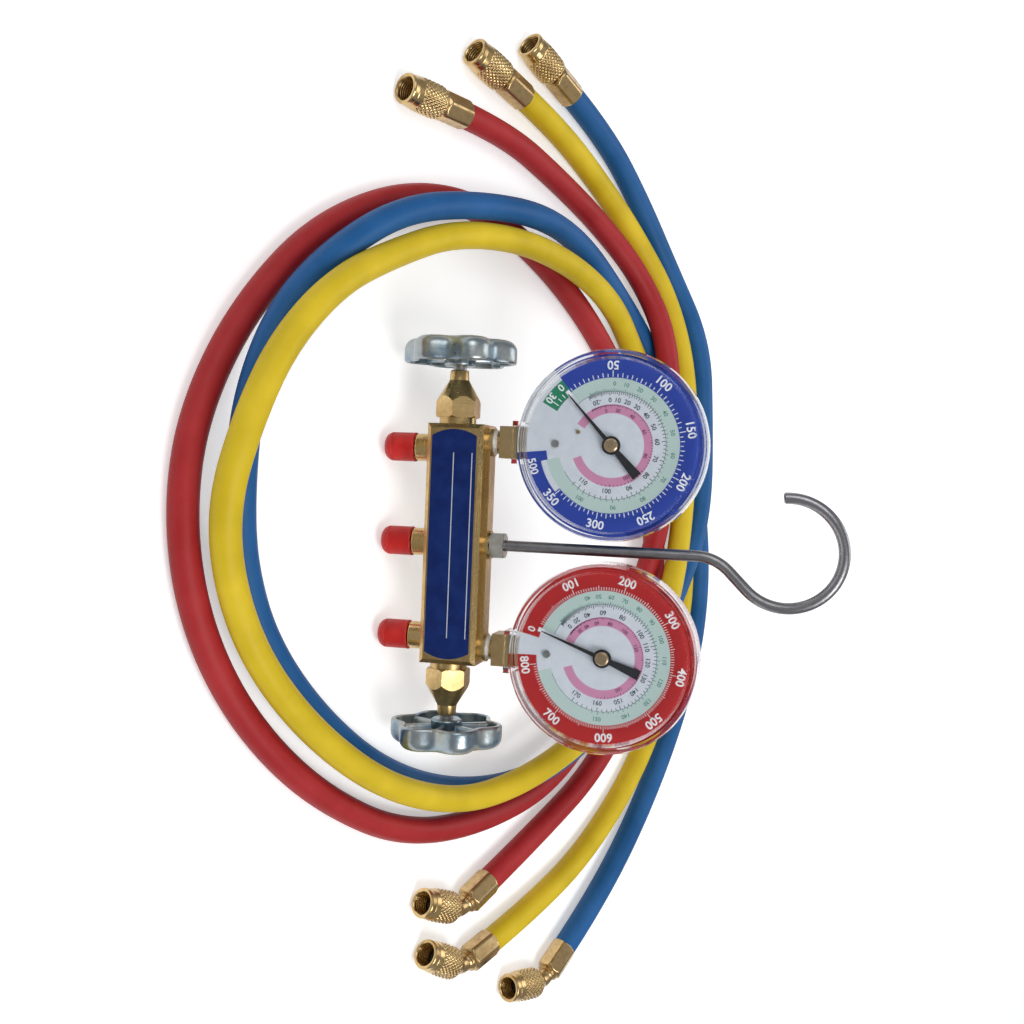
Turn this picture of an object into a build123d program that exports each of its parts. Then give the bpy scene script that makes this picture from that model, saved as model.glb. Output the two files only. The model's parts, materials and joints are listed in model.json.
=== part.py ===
"""Refrigerant manifold gauge set: two valves, two dial gauges, a hook and three charging hoses.

The manifold stands on its capped ports and leans back; the three hoses lie round it on the floor.
+X points to the high side, +Y away from the dials, +Z up, in millimetres.
Most pieces are placed from the dial plane by three distances: across (to the high side),
up (towards the hook) and out (towards the reader of the dials).
"""
from build123d import *
from math import asin, cos, pi, radians, sin, tan
import os

os.makedirs("parts", exist_ok=True)

# ---- fits -------------------------------------------------------------------------------------
running_gap = 0.05        # radial, between a shaft or thread and its bore
free_gap = 0.3            # between pieces that move past each other

# ---- manifold body ----------------------------------------------------------------------------
body_length = 108.0       # across, end to end
body_bottom = -11.0       # up, the face that the ports stand on
body_top = 15.0           # up, the face that the rail stands on
body_depth = 24.0
body_bevel = 2.0
rail_height = 2.0
rail_width = 10.0
rail_inset = 2.0          # from each end of the body
rail_length = body_length - 2 * rail_inset
boss_radius = 6.5
boss_height = 3.0
gallery_radius = 2.6      # passage between the two valve seats
chamber_radius = 4.5      # space round each valve tip
seat_depth = 15.5         # each valve seat, in from the body's end
seat_across = body_length / 2 - seat_depth
port_bore_radius = 2.4
label_inset = 2.5         # from each end of the body
label_length = body_length - 2 * label_inset
label_width = 20.6
label_dome = 3.0          # rise of the label's arched ends
label_thickness = 0.6
label_recess = 0.4

# ---- ports and their caps ---------------------------------------------------------------------
port_inset = 10.9         # the outer ports, in from the body's ends
port_spacing = body_length / 2 - port_inset
flare_stub_radius = 4.8
flare_stub_length = 5.0
collar_radius = 6.25
collar_length = 7.6
flare_neck = 0.8
flare_radius = 5.5        # 7/16-20 male flare thread
flare_thread_length = 9.6
flare_nose_length = 2.4
flare_nose_radius = 3.4
cap_wall = 1.05
cap_end = 1.5
cap_round = 2.0
cap_travel = 16.0

# ---- valves -----------------------------------------------------------------------------------
bonnet_thread_radius = 7.0
bonnet_thread_length = 5.0
bonnet_collar_radius = 8.4
bonnet_collar_length = 3.0
bonnet_hex_flats = 18.0
bonnet_hex_end = 10.0     # along the bonnet, where the taper begins
bonnet_taper_end = 20.0
bonnet_length = 24.5
bonnet_neck_radius = 4.2
stem_radius = 3.0
stem_tip_radius = 1.2
stem_tip_length = 3.5
stem_spigot_radius = 2.45
stem_spigot_length = 8.0
seal_section = 0.9        # radius of the ring's section
seal_along = 6.5
valve_travel = 3.5        # two turns of the thread

# ---- handwheels -------------------------------------------------------------------------------
wheel_radius = 26.0
wheel_lobes = 6
lobe_radius = 6.5
wheel_waist = 22.0        # radius between lobes before the blend
wheel_blend = 3.0
wheel_thickness = 11.0
wheel_round = 2.6
wheel_wall = 3.0
wheel_hollow = 7.5
hub_radius = 7.0
hub_reach = 1.2           # how far the hub stands proud of the rim
wheel_gap = 1.8           # from the bonnet's end to the hub
wheel_across = body_length / 2 + bonnet_length + wheel_gap + hub_reach   # inner face of the rim
rib_width = 2.6
screw_radius = 1.45
screw_length = 7.0
screw_head_radius = 4.0
screw_head = 2.2
screw_sink = 1.5

# ---- hook -------------------------------------------------------------------------------------
rod_radius = 2.5
hook_thread_depth = 10.0
hook_straight_end = 110.0  # up
hook_swan_radius = 20.0
hook_swan_angle = 45.0
hook_slant = 11.0
hook_ring_radius = 23.7
hook_ring_sweep = 231.0
nut_flats = 11.0
nut_height = 6.5

# ---- gauges -----------------------------------------------------------------------------------
thread_radius = 4.95      # 1/8 inch pipe thread
thread_depth = 9.0
tape_radius = 5.5
tape_length = 1.8
socket_start = 21.5       # up
socket_end = 32.4
socket_flats = 14.3
bar_width = 10.0
bar_depth = 6.0
case_radius = 39.9
case_wall = 0.9
case_back = -13.0         # out
case_rim = 7.0            # out
dial_thickness = 0.6
dial_hole = 1.2
cover_step = 2.1          # from the case's radius to the cover's
cover_radius = case_radius + cover_step
cover_skirt = -1.0        # out
cover_front = 17.0        # out
cover_glass = 2.0
cover_ledge = 1.5         # from the case's radius in to the ledge over the dial
cover_ledge_radius = case_radius - cover_ledge
hook_gap = 2.0            # between the cover and the hook's rod
gauge_across = cover_radius + rod_radius + hook_gap
socket_entry = 0.3        # of the socket's square, inside the case's outline
gauge_up = socket_end + case_radius - socket_entry
bar_drop = 19.5           # from the pinion down to the socket bar's end
bar_end = gauge_up - bar_drop
notch_frame = 2.0
plate_thickness = 1.0
plate_back = -1.0         # out, the rear face of the rear plate
plate_gap = 3.4
plate_width = 19.0
plate_bottom = -23.5      # up, from the pinion
plate_top = 9.0
pillar_radius = 1.4
pinion_teeth = 10
sector_teeth = 60         # on a whole wheel
tooth_module = 0.5
tooth_height = 0.45
tooth_root = 0.6
tooth_tip_half = 0.14
tooth_root_half = 0.34
gear_thickness = 1.6
sector_thickness = 1.0
sector_first = -8.0       # degrees, toothed arc, clockwise from up
sector_last = 64.0
arbor_radius = 0.7
tube_arc_radius = 27.0
tube_section = 2.4
tube_arc = 246.0
blade_out = 9.3
blade_thickness = 0.5
blade_reach = 29.3
blade_tail = 17.6
blade_tail_width = 4.4
blade_root_width = 2.0
blade_tip_width = 0.45
blade_disc_radius = 4.1
bush_radius = 3.0
bush_bottom = 8.5
bush_top = 11.2
low_zero = -132.3         # degrees clockwise from up, pointer at rest
high_zero = -159.5
adjuster_drop = 25.0      # below the pinion
adjuster_radius = 1.7
pin_drop = 15.0
pin_aside = 5.5
pin_radius = 0.9

# ---- hoses and couplers -----------------------------------------------------------------------
hose_radius = 6.35
floor_gap = 0.05
layer_rise = 13.3         # from one layer of hose to the next
run_share = 0.45          # of the shorter run, taken by each bend
coupler_radius = 8.0
mouth_radius = 7.2
mouth_length = 3.6
flare_bore_radius = 5.1   # thread bore of the coupler
flare_bore_depth = 10.5
swivel_chamber_radius = 5.7
swivel_chamber_length = 5.3
coupler_length = 22.5
coupler_rear_radius = 4.1
ferrule_flats = 13.6
ferrule_length = 14.0
tail_radius = 4.0
tail_flange_radius = 5.4
tail_bore_radius = 2.0
bend_radius = 9.0
bend_angle = 45.0
bend_lead = 2.0
depressor_radius = 0.9
depressor_length = 5.0

# Routes, as (x, y, layers of hose under it), from the straight coupler to the bent one.
routes = {
    "red": [
        (-203, -12), (-201, 21), (-188, 63, 0), (-172, 101, 0), (-148, 132, .45),
        (-113, 150, 1.12), (-60, 157, 1.05), (-4, 154, .9), (50, 144, 0), (96, 120, 0),
        (133, 78, 0), (144, 24, 0), (140, -30, 0), (115, -79, 0), (83, -116, 0),
        (46, -142, 0), (7, -155, 0), (-32, -156, 0), (-66, -146, 0), (-100, -126, 0),
        (-131, -92, 0), (-155, -46, 0), (-161, 2, 0), (-143, 54, 0), (-114, 101, 0),
        (-72, 139, 0), (-21, 163, 0), (32, 169, 0), (85, 157, 0), (131, 118, 0),
        (157, 67), (176, 27)],
    "yellow": [
        (-223, 30), (-213, 60), (-194, 98, 0), (-171, 133, 0), (-137, 159, .6),
        (-96, 172, 1), (-52, 176, 1), (2, 168, 1.3), (45, 142, 2), (82, 108, 2),
        (105, 68, 2), (121, 28, 1.6), (126, -7, 1), (111, -54, 1), (83, -95, 1),
        (50, -126, 1), (17, -142, 1), (-16, -151, 1.5), (-50, -146, 2.1), (-80, -131, 2.1),
        (-107, -105, 2), (-126, -66, 1.2), (-143, -25, 1), (-148, 23, 1.02), (-141, 66, 1.05),
        (-127, 104, .75), (-104, 137, .05), (-78, 162, 0), (-40, 183, 0), (0, 196, 0),
        (40, 200, 0), (88, 186, 0), (138, 157, 0), (177, 112, 0), (197, 65), (208, 30)],
    "blue": [
        (-234, 68), (-219, 100), (-191, 136, 0), (-157, 166, .1), (-115, 186, 1),
        (-68, 192, 1), (-22, 195, 1), (14, 184, 1), (54, 156, 1), (90, 120, 1),
        (116, 78, .9), (128, 40, .3), (123, -7, 0), (105, -50, 0), (76, -87, 0),
        (43, -114, 0), (9, -129, .2), (-25, -138, .9), (-60, -136, 1), (-96, -121, 1),
        (-127, -94, 1), (-151, -57, 1), (-162, -8, 1), (-165, 38, .95), (-157, 82, .25),
        (-138, 116, 0), (-112, 148, 0), (-84, 175, 0), (-52, 197, 0), (-3, 214, 0),
        (47, 217, 0), (96, 204, 0), (152, 172, 0), (202, 126.7), (228, 92)],
}

# ---- the stance -------------------------------------------------------------------------------
lean = 28.6               # degrees that the manifold leans back from upright
flare_length = collar_length + flare_neck + flare_thread_length + flare_nose_length
cap_start = collar_length + free_gap
cap_bore_radius = flare_radius + running_gap
cap_radius = cap_bore_radius + cap_wall
cap_length = flare_length + free_gap + cap_end - cap_start
cap_bottom = cap_start + cap_length - body_bottom
hook_ring_up = (hook_straight_end + (hook_swan_radius + hook_ring_radius) * sin(radians(hook_swan_angle))
                + hook_slant * cos(radians(hook_swan_angle)))
stand_z = ((cap_bottom - cap_round) * cos(radians(lean))
           + (cap_radius - cap_round) * sin(radians(lean)) + cap_round)
rear_reach = (hook_ring_up + hook_ring_radius) * sin(radians(lean)) + rod_radius
stand_y = (wheel_radius - rear_reach) / 2
face = Plane(origin=(0, stand_y, stand_z), x_dir=(1, 0, 0),
             z_dir=(0, -cos(radians(lean)), sin(radians(lean))))


def spot(across, up, out=0.0):
    """The point at these distances from the middle of the manifold."""
    return face.from_local_coords(Vector(across, up, out))


def front_at(across, up, out=0.0):
    """A plane parallel to the dials."""
    return Plane(origin=spot(across, up, out), x_dir=face.x_dir, z_dir=face.z_dir)


def axis_up(across, up):
    """A seat whose x axis points towards the hook."""
    return Plane(origin=spot(across, up), x_dir=face.y_dir, z_dir=face.z_dir)


def axis_down(across, up):
    """A seat whose x axis points away from the hook."""
    return Plane(origin=spot(across, up), x_dir=-face.y_dir, z_dir=face.z_dir)


def axis_side(side, across):
    """A seat whose x axis points outwards along the body, to the low (-1) or high (+1) end."""
    return Plane(origin=spot(side * across, 0), x_dir=face.x_dir * side, z_dir=face.z_dir)


def square_to(seat, along):
    """The plane across a seat's x axis, at a distance along it."""
    return Plane(origin=seat.origin + seat.x_dir * along, x_dir=seat.z_dir, z_dir=seat.x_dir)


def turned(seat, outline, mode=Mode.ADD, arc=360):
    """Revolve an outline of (along, radius) points about the seat's x axis."""
    with BuildSketch(seat) as profile:
        with BuildLine():
            Polyline(*outline, close=True)
        make_face()
    revolve(profile.sketch, axis=Axis(seat.origin, seat.x_dir), revolution_arc=arc, mode=mode)


def drill(seat, start, end, radius):
    """Cut a round bore along the seat's x axis."""
    with BuildSketch(square_to(seat, start)) as mouth:
        Circle(radius)
    extrude(mouth.sketch, amount=end - start, mode=Mode.SUBTRACT)


def six_flats(seat, start, end, flats):
    """Mill six flats on the stretch of a turned piece from start to end."""
    with BuildSketch(square_to(seat, start)) as ring:
        Circle(flats)
        RegularPolygon(flats / 2, 6, major_radius=False, mode=Mode.SUBTRACT)
    extrude(ring.sketch, amount=end - start, mode=Mode.SUBTRACT)


def save(piece, name):
    piece.part.label = name
    export_step(piece.part, f"parts/{name}.step")


# ---- the manifold block -----------------------------------------------------------------------
body_middle = (body_bottom + body_top) / 2
body_front = body_depth / 2
block_end = Plane(origin=spot(-body_length / 2, body_middle), x_dir=face.y_dir, z_dir=face.x_dir)
rail_end = Plane(origin=spot(-rail_length / 2, body_top), x_dir=face.y_dir, z_dir=face.x_dir)
boss_top = body_top + boss_height
with BuildPart() as manifold_body:
    with BuildSketch(block_end):
        Rectangle(body_top - body_bottom, body_depth)
    extrude(amount=body_length)
    chamfer(manifold_body.edges().group_by(Axis(face.origin, face.z_dir))[-1], body_bevel)
    with BuildSketch(rail_end):
        with Locations((rail_height / 2, 0)):
            Rectangle(rail_height, rail_width)
    extrude(amount=rail_length)
    for across in (-gauge_across, 0, gauge_across):
        with BuildSketch(square_to(axis_up(across, body_top), 0)):
            Circle(boss_radius)
        extrude(amount=boss_height)
    with BuildSketch(front_at(0, body_middle, body_front)) as recess:
        with BuildLine():
            half = label_length / 2 - label_dome
            Line((-half, label_width / 2), (half, label_width / 2))
            ThreePointArc((half, label_width / 2), (half + label_dome, 0), (half, -label_width / 2))
            Line((half, -label_width / 2), (-half, -label_width / 2))
            ThreePointArc((-half, -label_width / 2), (-half - label_dome, 0), (-half, label_width / 2))
        make_face()
    extrude(amount=-label_recess, mode=Mode.SUBTRACT)
    drill(axis_side(1, 0), -seat_across - 1, seat_across + 1, gallery_radius)
    for side in (-1, 1):
        end = axis_side(side, body_length / 2)
        drill(end, 0, -bonnet_thread_length, bonnet_thread_radius)
        drill(end, -bonnet_thread_length, seat_across - body_length / 2, chamber_radius)
        gauge_port = axis_up(side * gauge_across, boss_top)
        drill(gauge_port, 0, -thread_depth, thread_radius + running_gap)
        drill(gauge_port, -thread_depth, -boss_top, port_bore_radius)
    for across in (-port_spacing, 0, port_spacing):
        hose_port = axis_down(across, body_bottom)
        drill(hose_port, 0, -flare_stub_length, flare_stub_radius)
        drill(hose_port, -flare_stub_length, body_bottom, port_bore_radius)
    drill(axis_up(0, boss_top), 0, -hook_thread_depth, rod_radius + running_gap)
save(manifold_body, "manifold_body")

with BuildPart() as label_plate:
    with BuildSketch(front_at(0, body_middle, body_front - label_recess)):
        with BuildLine():
            Line((-half, label_width / 2), (half, label_width / 2))
            ThreePointArc((half, label_width / 2), (half + label_dome, 0), (half, -label_width / 2))
            Line((half, -label_width / 2), (-half, -label_width / 2))
            ThreePointArc((-half, -label_width / 2), (-half - label_dome, 0), (-half, label_width / 2))
        make_face()
        offset(amount=-running_gap)
    extrude(amount=label_thickness)
save(label_plate, "label_plate")

# ---- three flare ports with pull-off caps -----------------------------------------------------
for name, across in (("low", -port_spacing), ("center", 0), ("high", port_spacing)):
    seat = axis_down(across, body_bottom)
    neck_end = collar_length + flare_neck
    thread_end = neck_end + flare_thread_length
    with BuildPart() as flare:
        turned(seat, [
            (-flare_stub_length, port_bore_radius), (-flare_stub_length, flare_stub_radius),
            (0, flare_stub_radius), (0, collar_radius), (collar_length - 0.5, collar_radius),
            (collar_length, collar_radius - 0.5), (collar_length, flare_radius - 0.7),
            (neck_end, flare_radius - 0.7), (neck_end, flare_radius), (thread_end, flare_radius),
            (flare_length, flare_nose_radius), (flare_length, port_bore_radius)])
    save(flare, f"{name}_port_flare")
    with BuildPart() as cap:
        with BuildSketch(square_to(seat, cap_start)):
            Circle(cap_radius)
        extrude(amount=cap_length)
        fillet(cap.faces().sort_by(Axis(seat.origin, seat.x_dir))[-1].edges(), cap_round)
        drill(seat, cap_start, cap_start + cap_length - cap_end, cap_bore_radius)
    save(cap, f"{name}_port_cap")

# ---- valves: bonnet, stem and handwheel at each end -------------------------------------------
wheel_start = wheel_across - body_length / 2     # along the bonnet's axis
hub_start = wheel_start - hub_reach
spigot_start = hub_start + 1.6
hex_corner = bonnet_hex_flats / 2 / cos(radians(30))
stem_tip = seat_across - body_length / 2 - stem_tip_length + 1
for name, side in (("low", -1), ("high", 1)):
    seat = axis_side(side, body_length / 2)
    with BuildPart() as bonnet:
        turned(seat, [
            (-bonnet_thread_length, stem_radius + running_gap),
            (-bonnet_thread_length, bonnet_thread_radius), (0, bonnet_thread_radius),
            (0, bonnet_collar_radius), (bonnet_collar_length, bonnet_collar_radius),
            (bonnet_collar_length, hex_corner - 0.8), (bonnet_collar_length + 0.8, hex_corner),
            (bonnet_hex_end, hex_corner), (bonnet_taper_end, bonnet_neck_radius + 0.3),
            (bonnet_length - 0.4, bonnet_neck_radius), (bonnet_length, bonnet_neck_radius - 0.4),
            (bonnet_length, stem_radius + running_gap)])
        six_flats(seat, bonnet_collar_length, bonnet_taper_end, bonnet_hex_flats)
        groove_end = seal_along + seal_section + running_gap
        groove_start = seal_along - seal_section - running_gap
        groove_radius = stem_radius + 2 * (seal_section + running_gap)
        turned(seat, [(groove_start, stem_radius), (groove_start, groove_radius),
                      (groove_end, groove_radius), (groove_end, stem_radius)], Mode.SUBTRACT)
    save(bonnet, f"{name}_valve_bonnet")
    with BuildPart() as stem:
        turned(seat, [
            (stem_tip, 0), (stem_tip, stem_tip_radius), (stem_tip + stem_tip_length, stem_radius),
            (spigot_start, stem_radius), (spigot_start, stem_spigot_radius),
            (spigot_start + stem_spigot_length, stem_spigot_radius),
            (spigot_start + stem_spigot_length, screw_radius),
            (spigot_start + 1, screw_radius), (spigot_start + 1, 0)])
    save(stem, f"{name}_valve_stem")
    wheel_plane = Plane(origin=seat.origin + seat.x_dir * wheel_start, x_dir=(0, -1, 0), z_dir=seat.x_dir)
    hub_plane = Plane(origin=seat.origin + seat.x_dir * hub_start, x_dir=(0, -1, 0), z_dir=seat.x_dir)
    wheel_face = Axis(seat.origin, seat.x_dir)
    with BuildPart() as wheel:
        with BuildSketch(wheel_plane) as rim:
            Circle(wheel_waist)
            with PolarLocations(wheel_radius - lobe_radius, wheel_lobes):
                Circle(lobe_radius)
            fillet(rim.vertices(), wheel_blend)
        extrude(amount=wheel_thickness)
        fillet(wheel.faces().sort_by(wheel_face)[-1].edges(), wheel_round)
        with BuildSketch(wheel_plane) as hollow:
            add(rim.sketch_local)
            offset(amount=-wheel_wall)
            Circle(hub_radius, mode=Mode.SUBTRACT)
            with PolarLocations(wheel_radius / 2, wheel_lobes, start_angle=180 / wheel_lobes):
                Rectangle(wheel_radius, rib_width, mode=Mode.SUBTRACT)
        extrude(amount=wheel_hollow, mode=Mode.SUBTRACT)
        with BuildSketch(hub_plane):
            Circle(hub_radius)
        extrude(amount=hub_reach)
        drill(seat, hub_start, spigot_start, stem_radius + running_gap)
        drill(seat, spigot_start, wheel_start + wheel_thickness, stem_spigot_radius + running_gap)
        drill(seat, wheel_start + wheel_thickness, wheel_start + wheel_thickness - screw_sink,
              screw_head_radius + free_gap)
    save(wheel, f"{name}_handwheel")
    head_seat = wheel_start + wheel_thickness - screw_sink
    with BuildPart() as screw:
        turned(seat, [
            (head_seat - screw_length, 0), (head_seat - screw_length, screw_radius - running_gap),
            (head_seat, screw_radius - running_gap), (head_seat, screw_head_radius),
            (head_seat + screw_head * 0.5, screw_head_radius),
            (head_seat + screw_head, screw_head_radius * 0.55), (head_seat + screw_head, 0)])
    save(screw, f"{name}_wheel_screw")

with BuildPart() as stem_seals:
    for side in (-1, 1):
        seat = axis_side(side, body_length / 2)
        ring_middle = stem_radius + running_gap + seal_section
        with BuildSketch(seat) as section:
            with Locations((seal_along, ring_middle)):
                Circle(seal_section)
        revolve(section.sketch, axis=Axis(seat.origin, seat.x_dir))
save(stem_seals, "stem_seals")

# ---- hook and its jam nut ---------------------------------------------------------------------
with BuildPart() as hook:
    with BuildLine(front_at(0, 0)) as rod:
        shank = Line((0, boss_top - hook_thread_depth + 1), (0, hook_straight_end))
        swan = JernArc(shank @ 1, shank % 1, hook_swan_radius, -hook_swan_angle)
        slant = Line(swan @ 1, swan @ 1 + (swan % 1) * hook_slant)
        JernArc(slant @ 1, slant % 1, hook_ring_radius, hook_ring_sweep)
    with BuildSketch(square_to(axis_up(0, 0), boss_top - hook_thread_depth + 1)):
        Circle(rod_radius)
    sweep()
    hook_tip = hook.faces().filter_by(GeomType.PLANE).sort_by(Axis(spot(0, 0), face.y_dir))[-1]
    chamfer(hook_tip.edges(), 0.7)
save(hook, "hook")

with BuildPart() as hook_nut:
    nut_seat = axis_up(0, boss_top)
    turned(nut_seat, [
        (0, rod_radius + running_gap), (0, nut_flats / 2), (0.6, nut_flats / 2 + 0.85),
        (nut_height - 0.6, nut_flats / 2 + 0.85), (nut_height, nut_flats / 2),
        (nut_height, rod_radius + running_gap)])
    six_flats(nut_seat, 0, nut_height, nut_flats)
save(hook_nut, "hook_nut")


# ---- gauges -----------------------------------------------------------------------------------

pinion_pitch = pinion_teeth * tooth_module / 2
sector_pitch = sector_teeth * tooth_module / 2
pivot_drop = pinion_pitch + sector_pitch
gear_out = plate_back + plate_thickness + (plate_gap - gear_thickness) / 2
sector_out = plate_back + plate_thickness + (plate_gap - sector_thickness) / 2
plate_front = plate_back + 2 * plate_thickness + plate_gap
dial_front = case_rim + dial_thickness
for name, side, zero in (("low", -1, low_zero), ("high", 1, high_zero)):
    across = side * gauge_across
    stem_seat = axis_up(across, 0)
    dial_axis = Plane(origin=spot(across, gauge_up), x_dir=face.z_dir, z_dir=face.x_dir)

    with BuildPart() as socket:
        turned(stem_seat, [
            (boss_top - thread_depth + 0.5, port_bore_radius / 2),
            (boss_top - thread_depth + 0.5, thread_radius), (socket_start, thread_radius),
            (socket_start + 1, thread_radius), (socket_start + 1, port_bore_radius / 2)])
        with BuildSketch(square_to(stem_seat, socket_start)):
            Rectangle(socket_flats, socket_flats)
        extrude(amount=socket_end - socket_start)
        chamfer(socket.faces().sort_by(Axis(stem_seat.origin, face.y_dir))[-1].edges(), 0.8)
        with BuildSketch(front_at(across, (socket_end + bar_end) / 2, plate_back)):
            Rectangle(bar_width, bar_end - socket_end)
        extrude(amount=-bar_depth)
        drill(stem_seat, boss_top - thread_depth, bar_end - 6, port_bore_radius / 2)
    save(socket, f"{name}_gauge_socket")

    with BuildPart() as case:
        turned(dial_axis, [
            (case_back, 0), (case_back, case_radius - 1.5), (case_back + 1.5, case_radius),
            (case_rim, case_radius), (case_rim, case_radius - case_wall),
            (case_back + 1.5, case_radius - case_wall),
            (case_back + case_wall, case_radius - case_wall - 1), (case_back + case_wall, 0)])
        slot = socket_flats + 2 * free_gap
        with BuildSketch(square_to(stem_seat, gauge_up - case_radius - 1)):
            with Locations(((case_rim - slot / 2) / 2, 0)):
                Rectangle(case_rim + slot / 2 + 0.02, slot)
        extrude(amount=case_wall * 3, mode=Mode.SUBTRACT)
    save(case, f"{name}_gauge_case")

    with BuildPart() as dial:
        with BuildSketch(front_at(across, gauge_up, case_rim)):
            Circle(case_radius)
            Circle(dial_hole, mode=Mode.SUBTRACT)
        extrude(amount=dial_thickness)
    save(dial, f"{name}_dial")

    with BuildPart() as cover:
        inside = case_radius + running_gap
        glass_inner = cover_front - cover_glass - 0.6
        turned(dial_axis, [
            (cover_skirt, inside), (cover_skirt, cover_radius), (9.6, cover_radius),
            (10.4, cover_radius - 0.6), (13.6, cover_radius - 0.8), (16.2, cover_radius - 2.4),
            (cover_front, cover_radius - 4.0), (cover_front - 0.6, cover_radius - 5.0),
            (cover_front - 0.6, 0), (glass_inner, 0), (glass_inner, cover_radius - 5.6),
            (13.0, cover_ledge_radius), (dial_front, cover_ledge_radius), (dial_front, inside)])
        notch_seat = square_to(stem_seat, gauge_up - cover_radius - notch_frame)
        with BuildSketch(notch_seat):
            with Locations(((10.4 + cover_skirt) / 2, 0)):
                Rectangle(10.4 - cover_skirt, socket_flats + 2 * notch_frame + 2 * free_gap)
        extrude(amount=cover_radius - inside + notch_frame + 2.2)
        turned(dial_axis, [(cover_skirt - 1, 0), (cover_skirt - 1, inside), (dial_front, inside),
                           (dial_front, 0)], Mode.SUBTRACT)
        with BuildSketch(notch_seat):
            Rectangle(slot, slot)
        extrude(amount=8, mode=Mode.SUBTRACT)
    save(cover, f"{name}_gauge_cover")

    with BuildPart() as plates:
        plate_middle = gauge_up + (plate_top + plate_bottom) / 2
        for out in (plate_back, plate_front - plate_thickness):
            with BuildSketch(front_at(across, plate_middle, out)) as outline:
                RectangleRounded(plate_width, plate_top - plate_bottom, 3)
            extrude(amount=plate_thickness)
        with BuildSketch(front_at(across, plate_middle, plate_back)):
            with GridLocations(plate_width - 4, plate_top - plate_bottom - 4, 2, 2):
                Circle(pillar_radius)
        extrude(amount=plate_front - plate_back)
        with BuildSketch(front_at(across, gauge_up, plate_back)):
            Circle(arbor_radius + running_gap)
            with Locations((0, -pivot_drop)):
                Circle(arbor_radius + running_gap)
        extrude(amount=plate_front - plate_back, mode=Mode.SUBTRACT)
    save(plates, f"{name}_movement_plates")

    with BuildPart() as pinion:
        with BuildSketch(front_at(across, gauge_up, gear_out)):
            Circle(pinion_pitch - tooth_root)
            for number in range(pinion_teeth):
                with BuildLine(Plane.XY.rotated((0, 0, number * 360 / pinion_teeth))):
                    Polyline((-tooth_root_half, 1 - pinion_pitch), (-tooth_tip_half, -pinion_pitch - tooth_height),
                             (tooth_tip_half, -pinion_pitch - tooth_height), (tooth_root_half, 1 - pinion_pitch),
                             close=True)
                make_face()
        extrude(amount=gear_thickness)
        with BuildSketch(front_at(across, gauge_up, plate_back)):
            Circle(arbor_radius)
        extrude(amount=bush_top - 0.8 - plate_back)
    save(pinion, f"{name}_pointer_pinion")

    with BuildPart() as sector:
        pitch_angle = 360 / sector_teeth
        with BuildSketch(front_at(across, gauge_up - pivot_drop, sector_out)):
            with BuildLine():
                arc_radius = sector_pitch - tooth_root
                corner = Vector(0, arc_radius).rotate(Axis.Z, -sector_first)
                other = Vector(0, arc_radius).rotate(Axis.Z, -sector_last)
                middle = Vector(0, arc_radius).rotate(Axis.Z, -(sector_first + sector_last) / 2)
                ThreePointArc(corner, middle, other)
                Line(other, (1.6, -2))
                Line((1.6, -2), (-1.6, -2))
                Line((-1.6, -2), corner)
            make_face()
            with Locations((0, -4)):
                Rectangle(3, 5)
            Circle(2.4)
            for number in range(-1, 11):
                with BuildLine(Plane.XY.rotated((0, 0, -(number + 0.5) * pitch_angle))):
                    Polyline((-tooth_root_half, arc_radius - 0.4), (-tooth_tip_half, sector_pitch + tooth_height),
                             (tooth_tip_half, sector_pitch + tooth_height), (tooth_root_half, arc_radius - 0.4),
                             close=True)
                make_face()
        extrude(amount=sector_thickness)
        with BuildSketch(front_at(across, gauge_up - pivot_drop, plate_back)):
            Circle(arbor_radius)
        extrude(amount=plate_front - plate_back)
    save(sector, f"{name}_sector_gear")

    with BuildPart() as bourdon:
        start = asin((bar_width / 2 + running_gap) / (tube_arc_radius - tube_section / 2))
        section_plane = Plane(
            origin=spot(across, gauge_up), x_dir=face.x_dir * sin(start) - face.y_dir * cos(start),
            z_dir=face.x_dir * cos(start) + face.y_dir * sin(start))
        with BuildSketch(section_plane) as tube_cut:
            with Locations((tube_arc_radius, 0)):
                SlotOverall(bar_depth - 0.4, tube_section, rotation=90)
        revolve(tube_cut.sketch, axis=Axis(spot(across, gauge_up), face.z_dir), revolution_arc=tube_arc)
    save(bourdon, f"{name}_bourdon_tube")

    with BuildPart() as pointer:
        with BuildSketch(front_at(across, gauge_up, blade_out)):
            with BuildLine(Plane.XY.rotated((0, 0, -zero))):
                Polyline((-blade_root_width / 2, 0), (-blade_tip_width / 2, blade_reach),
                         (blade_tip_width / 2, blade_reach), (blade_root_width / 2, 0),
                         (blade_tail_width / 2, -blade_tail), (-blade_tail_width / 2, -blade_tail),
                         close=True)
            make_face()
            Circle(blade_disc_radius)
            Circle(bush_radius, mode=Mode.SUBTRACT)
        extrude(amount=blade_thickness)
    save(pointer, f"{name}_pointer")

    with BuildPart() as bush:
        turned(dial_axis, [
            (bush_bottom, arbor_radius), (bush_bottom, bush_radius), (bush_top - 0.5, bush_radius),
            (bush_top, bush_radius - 0.6), (bush_top, 0), (bush_top - 0.8, 0),
            (bush_top - 0.8, arbor_radius)])
    save(bush, f"{name}_pointer_bush")

with BuildPart() as thread_tapes:
    for side in (-1, 1):
        seat = axis_up(side * gauge_across, boss_top)
        turned(seat, [(0, thread_radius), (0, tape_radius), (tape_length, tape_radius - 0.2),
                      (tape_length, thread_radius)])
save(thread_tapes, "thread_tapes")

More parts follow.
